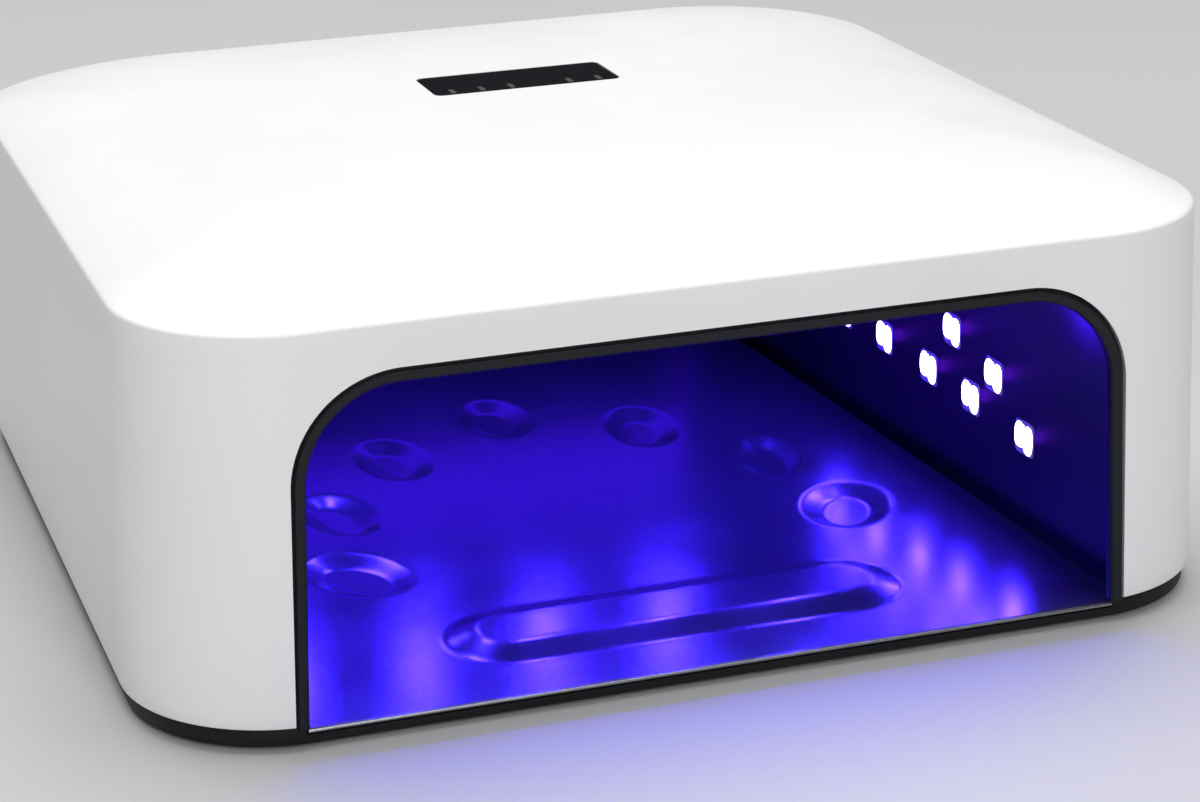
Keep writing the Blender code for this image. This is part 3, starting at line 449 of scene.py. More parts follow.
def satin_steel(name):
    """Satin stainless sheet: soft mottle, fine speckle and slow waviness from the press."""
    material, nodes, links, shader = new_material(name)
    mottle = object_noise(nodes, links, 110, 2)
    colour = blend_colours(nodes, links, mottle, (0.355, 0.350, 0.375), (0.385, 0.380, 0.405))
    speckle = map_range(nodes, links, object_noise(nodes, links, 1500, 1), 0.93, 1.05)
    links.new(scaled(nodes, links, colour, speckle), shader.inputs["Base Color"])
    haze = object_noise(nodes, links, 60, 2)
    links.new(map_range(nodes, links, haze, 0.22, 0.26), shader.inputs["Roughness"])
    shader.inputs["Metallic"].default_value = 0.9
    waves = object_noise(nodes, links, 28, 1)
    add_bump(nodes, links, shader, waves, 0.0001, 0.15)
    return material


def metal(name, colour, roughness):
    material, nodes, links, shader = new_material(name)
    tone = object_noise(nodes, links, 300, 3)
    darker = tuple(c * 0.85 for c in colour)
    links.new(blend_colours(nodes, links, tone, darker, colour), shader.inputs["Base Color"])
    links.new(map_range(nodes, links, tone, roughness, roughness + 0.12), shader.inputs["Roughness"])
    shader.inputs["Metallic"].default_value = 1.0
    fine = object_noise(nodes, links, 2500, 2)
    add_bump(nodes, links, shader, fine, 0.00001, 0.3)
    return material


def smoke_grey_liner_with_painted_shade(name):
    """Inside of the cavity: smoke-grey gloss plastic, slightly rippled, with painted shade that darkens
    it low, behind and at the foot of the walls.
    """
    material, nodes, links, shader = new_material(name)
    tone = object_noise(nodes, links, 25, 2)
    colour = blend_colours(nodes, links, tone, (0.040, 0.040, 0.046), (0.050, 0.050, 0.057))
    # painted shade: the colour darkens towards the rear of the cavity
    colour = scaled(nodes, links, colour, fading(nodes, links, "Y", -70 * MM, 60 * MM, 0.45))
    # painted shade: the colour darkens towards the bottom of the walls
    colour = scaled(nodes, links, colour, fading(nodes, links, "Z", 58 * MM, 8 * MM, 0.25))
    # painted shadow: a near-black band along the foot of the walls
    colour = scaled(nodes, links, colour, fading(nodes, links, "Z", 11 * MM, 7 * MM, 0.1))
    links.new(colour, shader.inputs["Base Color"])
    shader.inputs["Metallic"].default_value = 0.2
    # painted shade: the gloss also fades out along the foot of the walls
    gloss_with_painted_shade = fading(nodes, links, "Z", 13 * MM, 7 * MM, 0.02, most=0.25)
    links.new(gloss_with_painted_shade, shader.inputs["Specular IOR Level"])
    haze = object_noise(nodes, links, 60, 2)
    links.new(map_range(nodes, links, haze, 0.34, 0.40), shader.inputs["Roughness"])
    ripple = object_noise(nodes, links, 40, 1)
    add_bump(nodes, links, shader, ripple, 0.00005, 0.3)
    return material


def glowing_lens(name, colour, strength):
    material, nodes, links, shader = new_material(name)
    tone = object_noise(nodes, links, 700, 2)
    paler = tuple(min(1.0, c * 1.15) for c in colour)
    tint = blend_colours(nodes, links, tone, colour, paler)
    links.new(tint, shader.inputs["Base Color"])
    links.new(tint, shader.inputs["Emission Color"])
    shader.inputs["Emission Strength"].default_value = strength
    shader.inputs["Roughness"].default_value = 0.15
    return material


def circuit_board(name, mask, trace):
    """Solder mask over faint copper traces."""
    material, nodes, links, shader = new_material(name)
    coordinates = nodes.new("ShaderNodeTexCoord")
    bricks = nodes.new("ShaderNodeTexBrick")
    bricks.inputs["Scale"].default_value = 90
    bricks.inputs["Mortar Size"].default_value = 0.03
    bricks.inputs["Color1"].default_value = (*mask, 1)
    bricks.inputs["Color2"].default_value = (*mask, 1)
    bricks.inputs["Mortar"].default_value = (*trace, 1)
    links.new(coordinates.outputs["Object"], bricks.inputs["Vector"])
    links.new(bricks.outputs["Color"], shader.inputs["Base Color"])
    haze = object_noise(nodes, links, 200, 3)
    links.new(map_range(nodes, links, haze, 0.3, 0.45), shader.inputs["Roughness"])
    add_bump(nodes, links, shader, bricks.outputs["Fac"], 0.00003, 0.5)
    return material


WHITE = moulded_plastic(
    "white_plastic_look", (0.85, 0.833, 0.832), (0.885, 0.868, 0.867), (0.40, 0.46), coat=0.1
)
BLACK = moulded_plastic(
    "black_plastic_look", (0.005, 0.005, 0.007), (0.008, 0.008, 0.011), (0.40, 0.50), specular=0.3
)
TRAY_BLACK = moulded_plastic(
    "tray_plastic_look", (0.005, 0.005, 0.005), (0.009, 0.009, 0.010), (0.45, 0.6),
    grain=900, depth=0.00002, specular=0.25
)
GLOSS = moulded_plastic(
    "black_gloss_look", (0.004, 0.004, 0.006), (0.006, 0.006, 0.009), (0.05, 0.09),
    grain=300, depth=0.000002, specular=0.22
)
# the liner's look has painted shade: darker low, behind and along the foot of the walls
LINER = smoke_grey_liner_with_painted_shade("reflector_look")
STEEL = satin_steel("steel_look")
NICKEL = metal("nickel_look", (0.72, 0.70, 0.66), 0.18)
LENS = glowing_lens("led_lens_look", (0.62, 0.50, 1.0), 9.0)
CERAMIC = moulded_plastic(
    "led_package_look", (0.30, 0.29, 0.28), (0.36, 0.35, 0.34), (0.4, 0.5), grain=2500
)
SENSOR = moulded_plastic(
    "sensor_look", (0.015, 0.008, 0.02), (0.03, 0.015, 0.04), (0.08, 0.12),
    grain=1200, depth=0.000002, coat=0.6
)
RUBBER = moulded_plastic(
    "rubber_look", (0.015, 0.015, 0.015), (0.03, 0.03, 0.03), (0.75, 0.9),
    grain=1100, depth=0.00004
)
MARK = moulded_plastic(
    "touch_mark_look", (0.08, 0.08, 0.07), (0.13, 0.13, 0.115), (0.2, 0.3), grain=2000
)
SLEEVE = moulded_plastic(
    "lead_sleeve_look", (0.35, 0.015, 0.015), (0.5, 0.03, 0.03), (0.4, 0.5), grain=2000
)
DIGITS = moulded_plastic("display_body_look", (0.03, 0.03, 0.03), (0.06, 0.06, 0.06), (0.4, 0.5))
LED_BOARD = circuit_board("led_board_look", (0.82, 0.82, 0.78), (0.70, 0.68, 0.60))
GREEN_BOARD = circuit_board("control_board_look", (0.01, 0.12, 0.04), (0.02, 0.22, 0.08))


# ---------------------------------------------------------------- shell

def shell_sections():
    """Outer surface of the shell, from its lower edge up over the crease to the flat middle."""
    corner_steps = 22
    edge_runs = 26
    fillet_drop = CREASE_FILLET * 0.8
    sections = []

    def add_section(z, side, front, dome_inset=0.0):
        outline = shell_outline(side, front, dome_inset, 0, corner_steps, edge_runs)
        sections.append([(x, y, z) for x, y in outline])

    for angle in np.radians(np.linspace(0, 90, 5)):
        inset = SHELL_LIP * (1 - math.sin(angle))
        add_section(SHELL_BASE_Z + SHELL_LIP * (1 - math.cos(angle)), inset, inset)
    for z in np.linspace(SHELL_BASE_Z + SHELL_LIP, CREASE_Z - fillet_drop, 26)[1:]:
        share = draft_share(z)
        add_section(z, SIDE_DRAFT * share, FRONT_DRAFT * share)
    for t in np.linspace(0, 1, 9)[1:]:
        rise = dome_rise(CREASE_FILLET) * t * t - fillet_drop * (1 - t) ** 2
        add_section(CREASE_Z + rise, SIDE_DRAFT, FRONT_DRAFT, CREASE_FILLET * t * t)
    for share in np.linspace(0, 1, 32)[1:]:
        inset = CREASE_FILLET + (DOME_RUN - CREASE_FILLET) * share ** 1.5
        add_section(CREASE_Z + dome_rise(inset), SIDE_DRAFT, FRONT_DRAFT, inset)
    return sections


def shell_hollow_mesh():
    sections = []
    for z in (BELOW, CREASE_Z - SHELL_WALL):
        share = draft_share(z)
        outline = shell_outline(SIDE_DRAFT * share, FRONT_DRAFT * share, 0, SHELL_WALL)
        sections.append([(x, y, z) for x, y in outline])
    for share in (0.06, 0.15, 0.27, 0.45, 0.7, 1.0):
        inset = DOME_RUN * share
        outline = shell_outline(SIDE_DRAFT, FRONT_DRAFT, inset, SHELL_WALL)
        z = CREASE_Z + dome_rise(inset) - SHELL_WALL
        sections.append([(x, y, z) for x, y in outline])
    return loft("hollow", sections)


def opening_mesh():
    """Cutter for the hand opening, through the front wall alone."""
    path = arch_path(GAP, BELOW)
    depths = (-HALF_DEPTH - 10 * MM, -HALF_DEPTH + 14 * MM)
    return loft("opening", [[(x, y, z) for x, z in path] for y in depths])


def display_outline(margin, steps=6):
    radius = 1.6 * MM + margin
    front, rear = WINDOW_LOW[1] - margin, WINDOW_HIGH[1] + margin
    return rounded_outline(WINDOW_HIGH[0] + margin, front, rear, radius, radius, steps)


def cylinder_mesh(name, radius, matrix, depth, segments=48):
    bm = bmesh.new()
    add_cylinder(bm, radius, matrix, depth, segments)
    return mesh_from(bm, name)


def add_cylinder(bm, radius, matrix, depth, segments):
    bmesh.ops.create_cone(
        bm, cap_ends=True, segments=segments, radius1=radius, radius2=radius, depth=depth, matrix=matrix
    )


def vent_mesh():
    """Cutter for a group of upright slots with round ends on each side of the rear wall."""
    bm = bmesh.new()
    radius = VENT_HALF[0]
    slot = rounded_outline(radius, -VENT_HALF[1], VENT_HALF[1], radius, radius, 8)
    depths = (HALF_DEPTH - 8 * MM, HALF_DEPTH + 4 * MM)
    for side, _ in SIDES:
        for i in range(VENT_COUNT):
            x = side * (VENT_X + (i - (VENT_COUNT - 1) / 2) * VENT_PITCH)
            add_body(bm, [[(x + u, y, VENT_Z + v) for u, v in slot] for y in depths])
    return mesh_from(bm, "vents")


def make_shell():
    shell = add_object("shell", loft("shell", shell_sections()))
    cut(shell, shell_hollow_mesh())
    cut(shell, opening_mesh())
    levels = (WINDOW_LOW[2] - GAP, CROWN_Z + 5 * MM)
    cut(shell, loft("recess", upright(display_outline(0.25 * MM), levels)))
    turn = Matrix.Rotation(math.radians(90), 4, "X")
    hole = Matrix.Translation((0, HALF_DEPTH, (JACK_LOW[2] + JACK_HIGH[2]) / 2)) @ turn
    cut(shell, cylinder_mesh("jack_hole", JACK_HOLE_R, hole, 20 * MM))
    cut(shell, vent_mesh())
    place(shell, "lamp", "white_plastic", WHITE, "top_shell")


# ---------------------------------------------------------------- opening trim

def trim_section():
    """Section of the arch: offset outwards, depth, and whether it follows the front's lean."""
    front = -HALF_DEPTH + 0.05 * MM
    rear = TRIM_HIGH[1]
    inner = -TRIM_THICKNESS
    mouth = CAVITY_FRONT_HALF - OPENING_BASE_HALF
    return (
        (0.0, front + 3.4 * MM, True),                      # beside the shell's cut edge
        (0.0, front + 1.0 * MM, True),
        (-0.35 * MM, front + 0.8 * MM, True),               # shadow groove
        (-0.5 * MM, front + 0.25 * MM, True),
        (-0.75 * MM, front, True),                          # rounded lip
        (-1.9 * MM, front + 0.05 * MM, True),
        (-2.35 * MM, front + 0.2 * MM, True),
        (-2.7 * MM, front + 0.55 * MM, True),
        (inner, front + 1.0 * MM, True),
        (inner, front + 2.2 * MM, True),
        (inner + 0.3 * MM, front + 2.9 * MM, True),
        (mouth, front + 8 * MM, False),                     # funnel back to the liner
        (mouth, rear, False),
        (TRIM_FLANGE, rear, False),
        (TRIM_FLANGE, rear - 2 * MM, False),
        (mouth + 1.0 * MM, rear - 2 * MM, False),
    )


def make_trim():
    """Black arch: a narrow rounded lip, a shadow groove beside the shell and a funnel behind."""
    section = trim_section()
    paths = [arch_path(offset, LAMP_BASE_Z, 24, 14, 30) for offset, _, _ in section]
    rings = []
    for step in range(len(paths[0])):
        ring = []
        for path, (_, y, leans) in zip(paths, section):
            x, z = path[step]
            ring.append((x, y + (front_lean(z) if leans else 0.0), z))
        rings.append(ring)
    trim = add_object("trim", loft("trim", rings, sharp_angle=40))
    place(trim, "lamp", "black_plastic", BLACK, "opening_trim")


# ---------------------------------------------------------------- reflector and beads

def cavity_section(y, shrink):
    half = cavity_half_width(y) - shrink
    top = cavity_top(y) - shrink
    radius = CAVITY_CORNER_R - shrink * 0.5
    return [(x, y, z) for x, z in arch(half, half, top, radius, LAMP_BASE_Z, 16, 16, 24)]


BEAD_WINDOW_HALF = 3.95 * MM
BEAD_HALF = 3.8 * MM
BEAD_PROFILE = (                   # inset from the package's side, height over the wall
    (0.0, -1.8 * MM), (0.0, 0.0), (0.25 * MM, 0.15 * MM), (0.7 * MM, 0.15 * MM), (0.9 * MM, -0.05 * MM)
)
LOBES = (                          # centre across and along a bead, half length
    (-1.75 * MM, 0.45 * MM, 3.0 * MM),
    (1.75 * MM, -0.15 * MM, 3.35 * MM),
)
LOBE_HALF_WIDTH = 1.85 * MM
LOBE_LEVELS = (-0.3 * MM, 0.7 * MM)
LOBE_PROFILE = ((0.97, 0.0), (1.0, 0.25), (0.97, 0.5), (0.88, 0.72), (0.7, 0.88), (0.4, 0.97))
SENSOR_HOLE_R = 2.8 * MM


def rounded_square(half, radius, steps=4):
    return rounded_outline(half, -half, half, radius, radius, steps)


def windows_mesh():
    """Cutter for the square windows, with rounded corners, and the two sensor holes."""
    bm = bmesh.new()
    depths = (-4 * MM, 4 * MM)
    outline = rounded_square(BEAD_WINDOW_HALF, 1.3 * MM)
    for _, matrix in BEADS:
        add_body(bm, [[matrix @ Vector((x, y, z)) for x, y in outline] for z in depths])
    for name in ("hand_sensor_emitter", "hand_sensor_receiver"):
        low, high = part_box(name)
        local = CEILING_FRAME.inverted() @ ((low + high) / 2)
        spot = CEILING_FRAME @ Matrix.Translation((local.x, local.y, 0))
        add_cylinder(bm, SENSOR_HOLE_R, spot, depths[1] - depths[0], 32)
    return mesh_from(bm, "windows")


def make_reflector():
    """Liner: a tapering arch with a rounded rear end, one wall thick, with its windows cut."""
    bend_y = CAVITY_REAR_Y - CAVITY_REAR_R
    sections = [cavity_section(y, 0.0) for y in np.linspace(CAVITY_FRONT_Y, bend_y, 30)[:-1]]
    for angle in np.radians(np.linspace(0, 80, 14)):
        shrink = CAVITY_REAR_R * (1 - math.cos(angle))
        sections.append(cavity_section(bend_y + CAVITY_REAR_R * math.sin(angle), shrink))
    bm = bmesh.new()
    rings = [[bm.verts.new(point) for point in section] for section in sections]
    bridge(bm, rings, closed=False)
    bm.faces.new(rings[-1])
    middle = Vector((0, 0, CAVITY_FRONT_TOP_Z / 2))
    mesh = mesh_from(bm, "liner")
    first = mesh.polygons[0]
    outward = (first.center - middle).dot(first.normal) > 0
    liner = add_object("liner", mesh)
    solidify = liner.modifiers.new("wall", "SOLIDIFY")
    solidify.thickness = REFLECTOR_WALL
    solidify.offset = 1.0 if outward else -1.0
    bake_modifiers(liner)
    cut(liner, windows_mesh())
    place(liner, "lamp", "reflector_plastic", LINER, "reflector")


def bead_mesh():
    """A ceramic package with a raised rim, and two clear lobes over the two dies."""
    bm = bmesh.new()
    sections = []
    for inset, z in BEAD_PROFILE:
        sections.append([(x, y, z) for x, y in rounded_square(BEAD_HALF - inset, 1.2 * MM)])
    add_body(bm, sections)
    package_faces = len(bm.faces)
    for lobe in LOBES:
        add_lobe(bm, *lobe)
    bm.faces.ensure_lookup_table()
    for face in bm.faces[package_faces:]:
        face.material_index = 1
    mesh = mesh_from(bm, "bead", 50)
    mesh.materials.append(CERAMIC)
    mesh.materials.append(LENS)
    return mesh


def add_lobe(bm, centre_x, centre_y, half_y):
    """Low superelliptic dome, as a closed body that dips into the package."""
    base, top_z = LOBE_LEVELS
    count = 28
    rings = []
    for radius, level in LOBE_PROFILE:
        ring = []
        for i in range(count):
            angle = 2 * math.pi * i / count
            c, s = math.cos(angle), math.sin(angle)
            x = math.copysign(abs(c) ** 0.75, c) * LOBE_HALF_WIDTH * radius
            y = math.copysign(abs(s) ** 0.75, s) * half_y * radius
            z = base + (top_z - base) * level
            ring.append(bm.verts.new((centre_x + x, centre_y + y, z)))
        rings.append(ring)
    bridge(bm, rings)
    bm.faces.new(list(reversed(rings[0])))
    top = bm.verts.new((centre_x, centre_y, top_z))
    for i in range(count):
        bm.faces.new((rings[-1][i], rings[-1][(i + 1) % count], top))


# ---------------------------------------------------------------- light of the beads

BEAD_COLOUR = (0.037, 0.016, 1.0)
GLOW_COLOUR = (0.056, 0.004, 1.0)
SIDE_BEAD_POWER = 0.0115
TOP_BEAD_POWER = 0.040
LINER_POWER = 0.24
REAR_GLOW_POWER = 0.018
HALO_COLOUR = (0.15, 0.01, 1.0)
HALO_POWER = 0.0006
BEAD_LIGHT_SIZE = (6 * MM, 6 * MM)
BEAD_LIGHT_SPOT = (0, 0, 1.2 * MM)                 # in a bead's own frame
LINER_LIGHT_SIZE = (110 * MM, 34 * MM)
LINER_LIGHT_SPOT = (15 * MM, 46 * MM, 60 * MM)     # in a wall's own frame
REAR_GLOW_SIZE = (150 * MM, 30 * MM)
REAR_GLOW_SPOT = (20 * MM, 86 * MM, 46 * MM)
GLEAM_SIZE = (14 * MM, 3 * MM)
GLEAM_DEPTH = 11 * MM              # behind the liner's front edge
GLEAM_TURN = 54                    # degrees outwards from straight up
GLEAM_REACH = 13 * MM              # from the centre of the corner's curve
GLEAM_POWER = 0.02
FACE_ALONG_Z = Matrix.Rotation(math.pi, 4, "X")    # turns a light from its -Z to +Z


def link_light(name, data, matrix):
    """Light that rides on the lamp and isn't seen itself."""
    light = bpy.data.objects.new(name, data)
    bpy.context.scene.collection.objects.link(light)
    light.matrix_world = matrix
    light.visible_camera = False
    light.parent = frame["bodies"]["lamp"]
    return light


def light_data(name, kind, colour, power):
    data = bpy.data.lights.new(name, kind)
    data.color = colour
    data.energy = power
    return data


def panel_data(name, size, colour, power):
    data = light_data(name, "AREA", colour, power)
    data.shape = "RECTANGLE"
    data.size, data.size_y = size
    return data


def add_bead_light(name, matrix):
    """Square of light just clear of a bead's face."""
    power = TOP_BEAD_POWER if "top" in name else SIDE_BEAD_POWER
    data = panel_data(name, BEAD_LIGHT_SIZE, BEAD_COLOUR, power)
    return link_light(name, data, matrix @ Matrix.Translation(BEAD_LIGHT_SPOT) @ FACE_ALONG_Z)


def add_halo(name, matrix):
    """Faint spill of light on the wall beside a bead, on the side of the opening."""
    data = light_data(name, "POINT", HALO_COLOUR, HALO_POWER)
    data.shadow_soft_size = 1.6 * MM
    towards_opening = 1 if matrix.to_3x3().col[0].y < 0 else -1
    beside = Matrix.Translation((towards_opening * 2.2 * MM, 0.8 * MM, 2.2 * MM))
    link_light(name, data, matrix @ beside)


def add_liner_light(side, name, only_liner):
    """Panel in mid-air that stands in for the glow of a wall's beads on the far wall."""
    data = panel_data(name, LINER_LIGHT_SIZE, GLOW_COLOUR, LINER_POWER)
    facing = WALL_FRAMES[side] @ Matrix.Translation(LINER_LIGHT_SPOT)
    light = link_light(name, data, facing @ FACE_ALONG_Z)
    light.light_linking.receiver_collection = only_liner


def add_corner_gleam(side, name, only_liner):
    """Gleam along the liner's rounded upper corner, just behind the trim."""
    data = panel_data(name, GLEAM_SIZE, GLOW_COLOUR, GLEAM_POWER)
    y = CAVITY_FRONT_Y + GLEAM_DEPTH
    centre = (side * (cavity_half_width(y) - CAVITY_CORNER_R), y, cavity_top(y) - CAVITY_CORNER_R)
    outward = Matrix.Rotation(side * math.radians(GLEAM_TURN), 4, "Y")
    spot = Matrix.Translation(centre) @ outward @ Matrix.Translation((0, 0, GLEAM_REACH))
    light = link_light(name, data, spot @ FACE_ALONG_Z)
    light.light_linking.receiver_collection = only_liner


def add_rear_glow(only_plate):
    """Soft glow of the rear wall, which the middle and rear of the sheet reflect."""
    data = panel_data("rear_glow", REAR_GLOW_SIZE, GLOW_COLOUR, REAR_GLOW_POWER)
    facing_front = Matrix.Rotation(math.radians(-90), 4, "X")
    light = link_light("rear_glow", data, Matrix.Translation(REAR_GLOW_SPOT) @ facing_front)
    light.light_linking.receiver_collection = only_plate


def receivers(name, pieces, state):
    """Group of pieces that a light is kept off, or is meant for alone."""
    group = bpy.data.collections.new(name)
    for piece in pieces:
        group.objects.link(bpy.data.objects[piece])
    for entry in group.collection_objects:
        entry.light_linking.link_state = state
    return group


def make_beads():
    """Beads and their lights. The bead meshes are for the camera: the lights do the lighting."""
    mesh = bead_mesh()
    off_walls = receivers("off_walls", ["liner", "trim"], "EXCLUDE")
    only_liner = receivers("only_liner", ["liner"], "INCLUDE")
    for node, matrix in BEADS:
        bead = add_object(node.replace("led_bead", "bead"), mesh)
        bead.matrix_world = matrix
        bead.visible_diffuse = False
        bead.visible_glossy = False
        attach(bead, "lamp")
        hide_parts(node)
        light = add_bead_light(f"glow_{node[9:]}", matrix)
        light.light_linking.receiver_collection = off_walls
        if "top" not in node:
            add_halo(f"halo_{node[9:]}", matrix)
    for side, name in SIDES:
        add_liner_light(side, f"liner_glow_{name}", only_liner)
        add_corner_gleam(side, f"corner_gleam_{name}", only_liner)


# ---------------------------------------------------------------- display

TOUCH_PITCH = 6.85 * MM
TOUCH_SLOTS = (-2.5, -1.5, -0.5, 1.5, 2.5)
TOUCH_HALF_WIDTH = 0.6 * MM
TOUCH_SPAN = (0.9 * MM, 4.6 * MM)  # front and rear ends, from the window's front edge
TOUCH_CORNER_R = 0.55 * MM


def make_display():
    """Window with a chamfered rim, and five upright marks along its front edge."""
    chamfer = 0.25 * MM
    top = WINDOW_HIGH[2]
    levels = (
        (0.0, WINDOW_LOW[2]),
        (0.0, top - chamfer),
        (-0.08 * MM, top - 0.07 * MM),
        (-chamfer, top),
        (-2 * chamfer, top),
    )
    sections = [[(x, y, z) for x, y in display_outline(margin)] for margin, z in levels]
    window = add_object("window", loft("window", sections))
    place(window, "lamp", "black_gloss", GLOSS, "display_window")
    front, rear = (WINDOW_LOW[1] + reach for reach in TOUCH_SPAN)
    outline = rounded_outline(TOUCH_HALF_WIDTH, front, rear, TOUCH_CORNER_R, TOUCH_CORNER_R, 6)
    for number, slot in enumerate(TOUCH_SLOTS, 1):
        shifted = [(x + slot * TOUCH_PITCH, y) for x, y in outline]
        sections = upright(shifted, (top - 0.1 * MM, top + 0.02 * MM))
        mark = add_object(f"touch_mark_{number}", loft("touch_mark", sections))
        place(mark, "lamp", "black_gloss", MARK)


# ---------------------------------------------------------------- plate

DIMPLES = (                        # centre x and y, lean in degrees, widening
    (0.0, 38 * MM, 0, 0.0),
    (56.4 * MM, -43.5 * MM, 28, 1.8 * MM),
    (-56.4 * MM, -43.5 * MM, -28, 1.8 * MM),
    (51.5 * MM, -9 * MM, 10, 0.0),
    (-51.5 * MM, -9 * MM, -10, 0.0),
    (31 * MM, 20 * MM, 5, 0.0),
    (-31 * MM, 20 * MM, -5, 0.0),
)
DIMPLE_HALF = (9.0 * MM, 14.4 * MM)
DIMPLE_SLOPE = 6.4 * MM            # width of the sloping ring round a dimple's flat bottom
DIMPLE_DEPTH = 2.0 * MM
REST_Y = -85.2 * MM
REST_HALF = (50 * MM, 14.1 * MM)
REST_SLOPE = 8 * MM                # width of the slope all round the rest
REST_HEIGHT = 2.1 * MM
DIMPLE_ROUNDING = (0.9 * MM, 1.6 * MM)          # at the lip and at the foot of the slope
REST_ROUNDING = (1.6 * MM, 1.8 * MM)
HEM_RADIUS = 0.36 * MM
GRID = 0.8 * MM                    # spacing of the fine grid over what shows in the cavity
GRID_HALF_WIDTH = 72 * MM
GRID_REAR = 56 * MM
REAR_CURVE = 34 * MM               # rows crowd together over this depth, round the rear corners


def pressed(inside, width, lip, heel):
    """Share of full depth at a distance inside a pressed form's edge, with rounded ends."""
    slope = 1 / (width - lip / 2 - heel / 2)
    start = slope * inside ** 2 / (2 * lip)
    straight = slope * (inside - lip / 2)
    end = 1 - slope * (width - inside) ** 2 / (2 * heel)
    share = np.where(inside < lip, start, np.where(inside < width - heel, straight, end))
    return np.where(inside <= 0, 0.0, np.where(inside >= width, 1.0, share))


def plate_height(x, y):
    """Height of the sheet's upper face over its flat level."""
    reach = REST_HALF[0] - REST_HALF[1]
    off_axis = np.hypot(np.maximum(np.abs(x) - reach, 0), y - REST_Y)
    height = REST_HEIGHT * pressed(REST_HALF[1] - off_axis, REST_SLOPE, *REST_ROUNDING)
    for centre_x, centre_y, lean, widening in DIMPLES:
        turn = math.radians(lean)
        u = (x - centre_x) * math.cos(turn) - (y - centre_y) * math.sin(turn)
        v = (x - centre_x) * math.sin(turn) + (y - centre_y) * math.cos(turn)
        a = DIMPLE_HALF[0] + widening
        b = DIMPLE_HALF[1]
        level = np.sqrt((u / a) ** 2 + (v / b) ** 2) + 1e-6
        slope = np.sqrt((u / a ** 2) ** 2 + (v / b ** 2) ** 2) / level + 1e-6
        inside = (1 - level) / slope
        height = height - DIMPLE_DEPTH * pressed(inside, DIMPLE_SLOPE, *DIMPLE_ROUNDING)
    return height


def plate_half_width(y):
    """Half width of the plate's outline at a depth: front tongue, corners and straight sides."""
    half = HALF_WIDTH - PLATE_INSET
    front_r = FRONT_CORNER_R - PLATE_INSET
    rear_r = REAR_CORNER_R - PLATE_INSET
    front = -HALF_DEPTH + PLATE_INSET
    rear = HALF_DEPTH - PLATE_INSET
    width = half
    if y < front + front_r:
        drop = front + front_r - y
        width = half - front_r + math.sqrt(max(front_r ** 2 - drop ** 2, 0))
        width = TONGUE_HALF if y < front + 0.2 * MM else max(width, TONGUE_HALF)
    if y > rear - rear_r:
        drop = y - (rear - rear_r)
        width = half - rear_r + math.sqrt(max(rear_r ** 2 - drop ** 2, 0))
    return width


def plate_rows():
    """Depths of the grid's rows, from the front edge to the rear."""
    front = PLATE_LOW[1] + PLATE_THICKNESS
    rear = PLATE_HIGH[1]
    return np.concatenate((
        [front, front + 0.3 * MM],
        np.arange(front + 0.9 * MM, GRID_REAR, GRID),
        np.linspace(GRID_REAR, rear - REAR_CURVE, 8),
        rear - REAR_CURVE * (1 - np.sin(np.radians(np.linspace(6, 90, 15)))),
    ))


def make_plate():
    """Pressed sheet: a fine grid over what shows in the cavity, a coarse one under the housing."""
    ys = plate_rows()
    inner = GRID_HALF_WIDTH
    xs = np.linspace(-inner, inner, int(2 * inner / GRID) + 1)
    shares = np.linspace(0, 1, 12)[1:]
    verts = []
    for y in ys:
        side = (plate_half_width(y) - inner) * shares
        row = np.concatenate(((-inner - side)[::-1], xs, inner + side))
        depth = np.full(len(row), y)
        verts.append(np.stack((row, depth, PLATE_TOP_Z + plate_height(row, depth)), axis=1))
    columns = len(verts[0])
    points = np.concatenate(verts)
    faces = []
    for j in range(len(ys) - 1):
        start = j * columns
        for i in range(columns - 1):
            faces.append((start + i, start + i + 1, start + columns + i + 1, start + columns + i))
    mesh = bpy.data.meshes.new("plate")
    mesh.from_pydata(points.tolist(), [], faces)
    mesh.update()
    plate = add_object("plate", mesh)
    solidify = plate.modifiers.new("sheet", "SOLIDIFY")
    solidify.thickness = PLATE_THICKNESS
    solidify.offset = -1.0
    bevel = plate.modifiers.new("edge", "BEVEL")
    bevel.width = 0.2 * MM
    bevel.segments = 2
    bevel.limit_method = "ANGLE"
    bevel.angle_limit = math.radians(60)
    bake_modifiers(plate, 50)
    place(plate, "tray", "steel", STEEL, "base_plate")
    add_rear_glow(receivers("only_plate", ["plate"], "INCLUDE"))
    make_hem()


def make_hem():
    """Rolled bead along the sheet's front edge."""
    centre_y = PLATE_LOW[1] + PLATE_THICKNESS - HEM_RADIUS
    centre_z = PLATE_TOP_Z - HEM_RADIUS
    circle = arc_points((centre_y, centre_z), HEM_RADIUS, 0, 360, 16)[:-1]
    sections = [[(x, y, z) for y, z in circle] for x in np.linspace(-TONGUE_HALF, TONGUE_HALF, 60)]
    hem = add_object("plate_hem", loft("plate_hem", sections, sharp_angle=60))
    place(hem, "tray", "steel", STEEL)


# ---------------------------------------------------------------- tray and feet

TRAY_EDGE = 0.4 * MM
TRAY_HOLE_HALF = 96 * MM
TRAY_HOLE_R = 22 * MM
FOOT_POCKET_R = 6.3 * MM
FOOT_R = 6.0 * MM


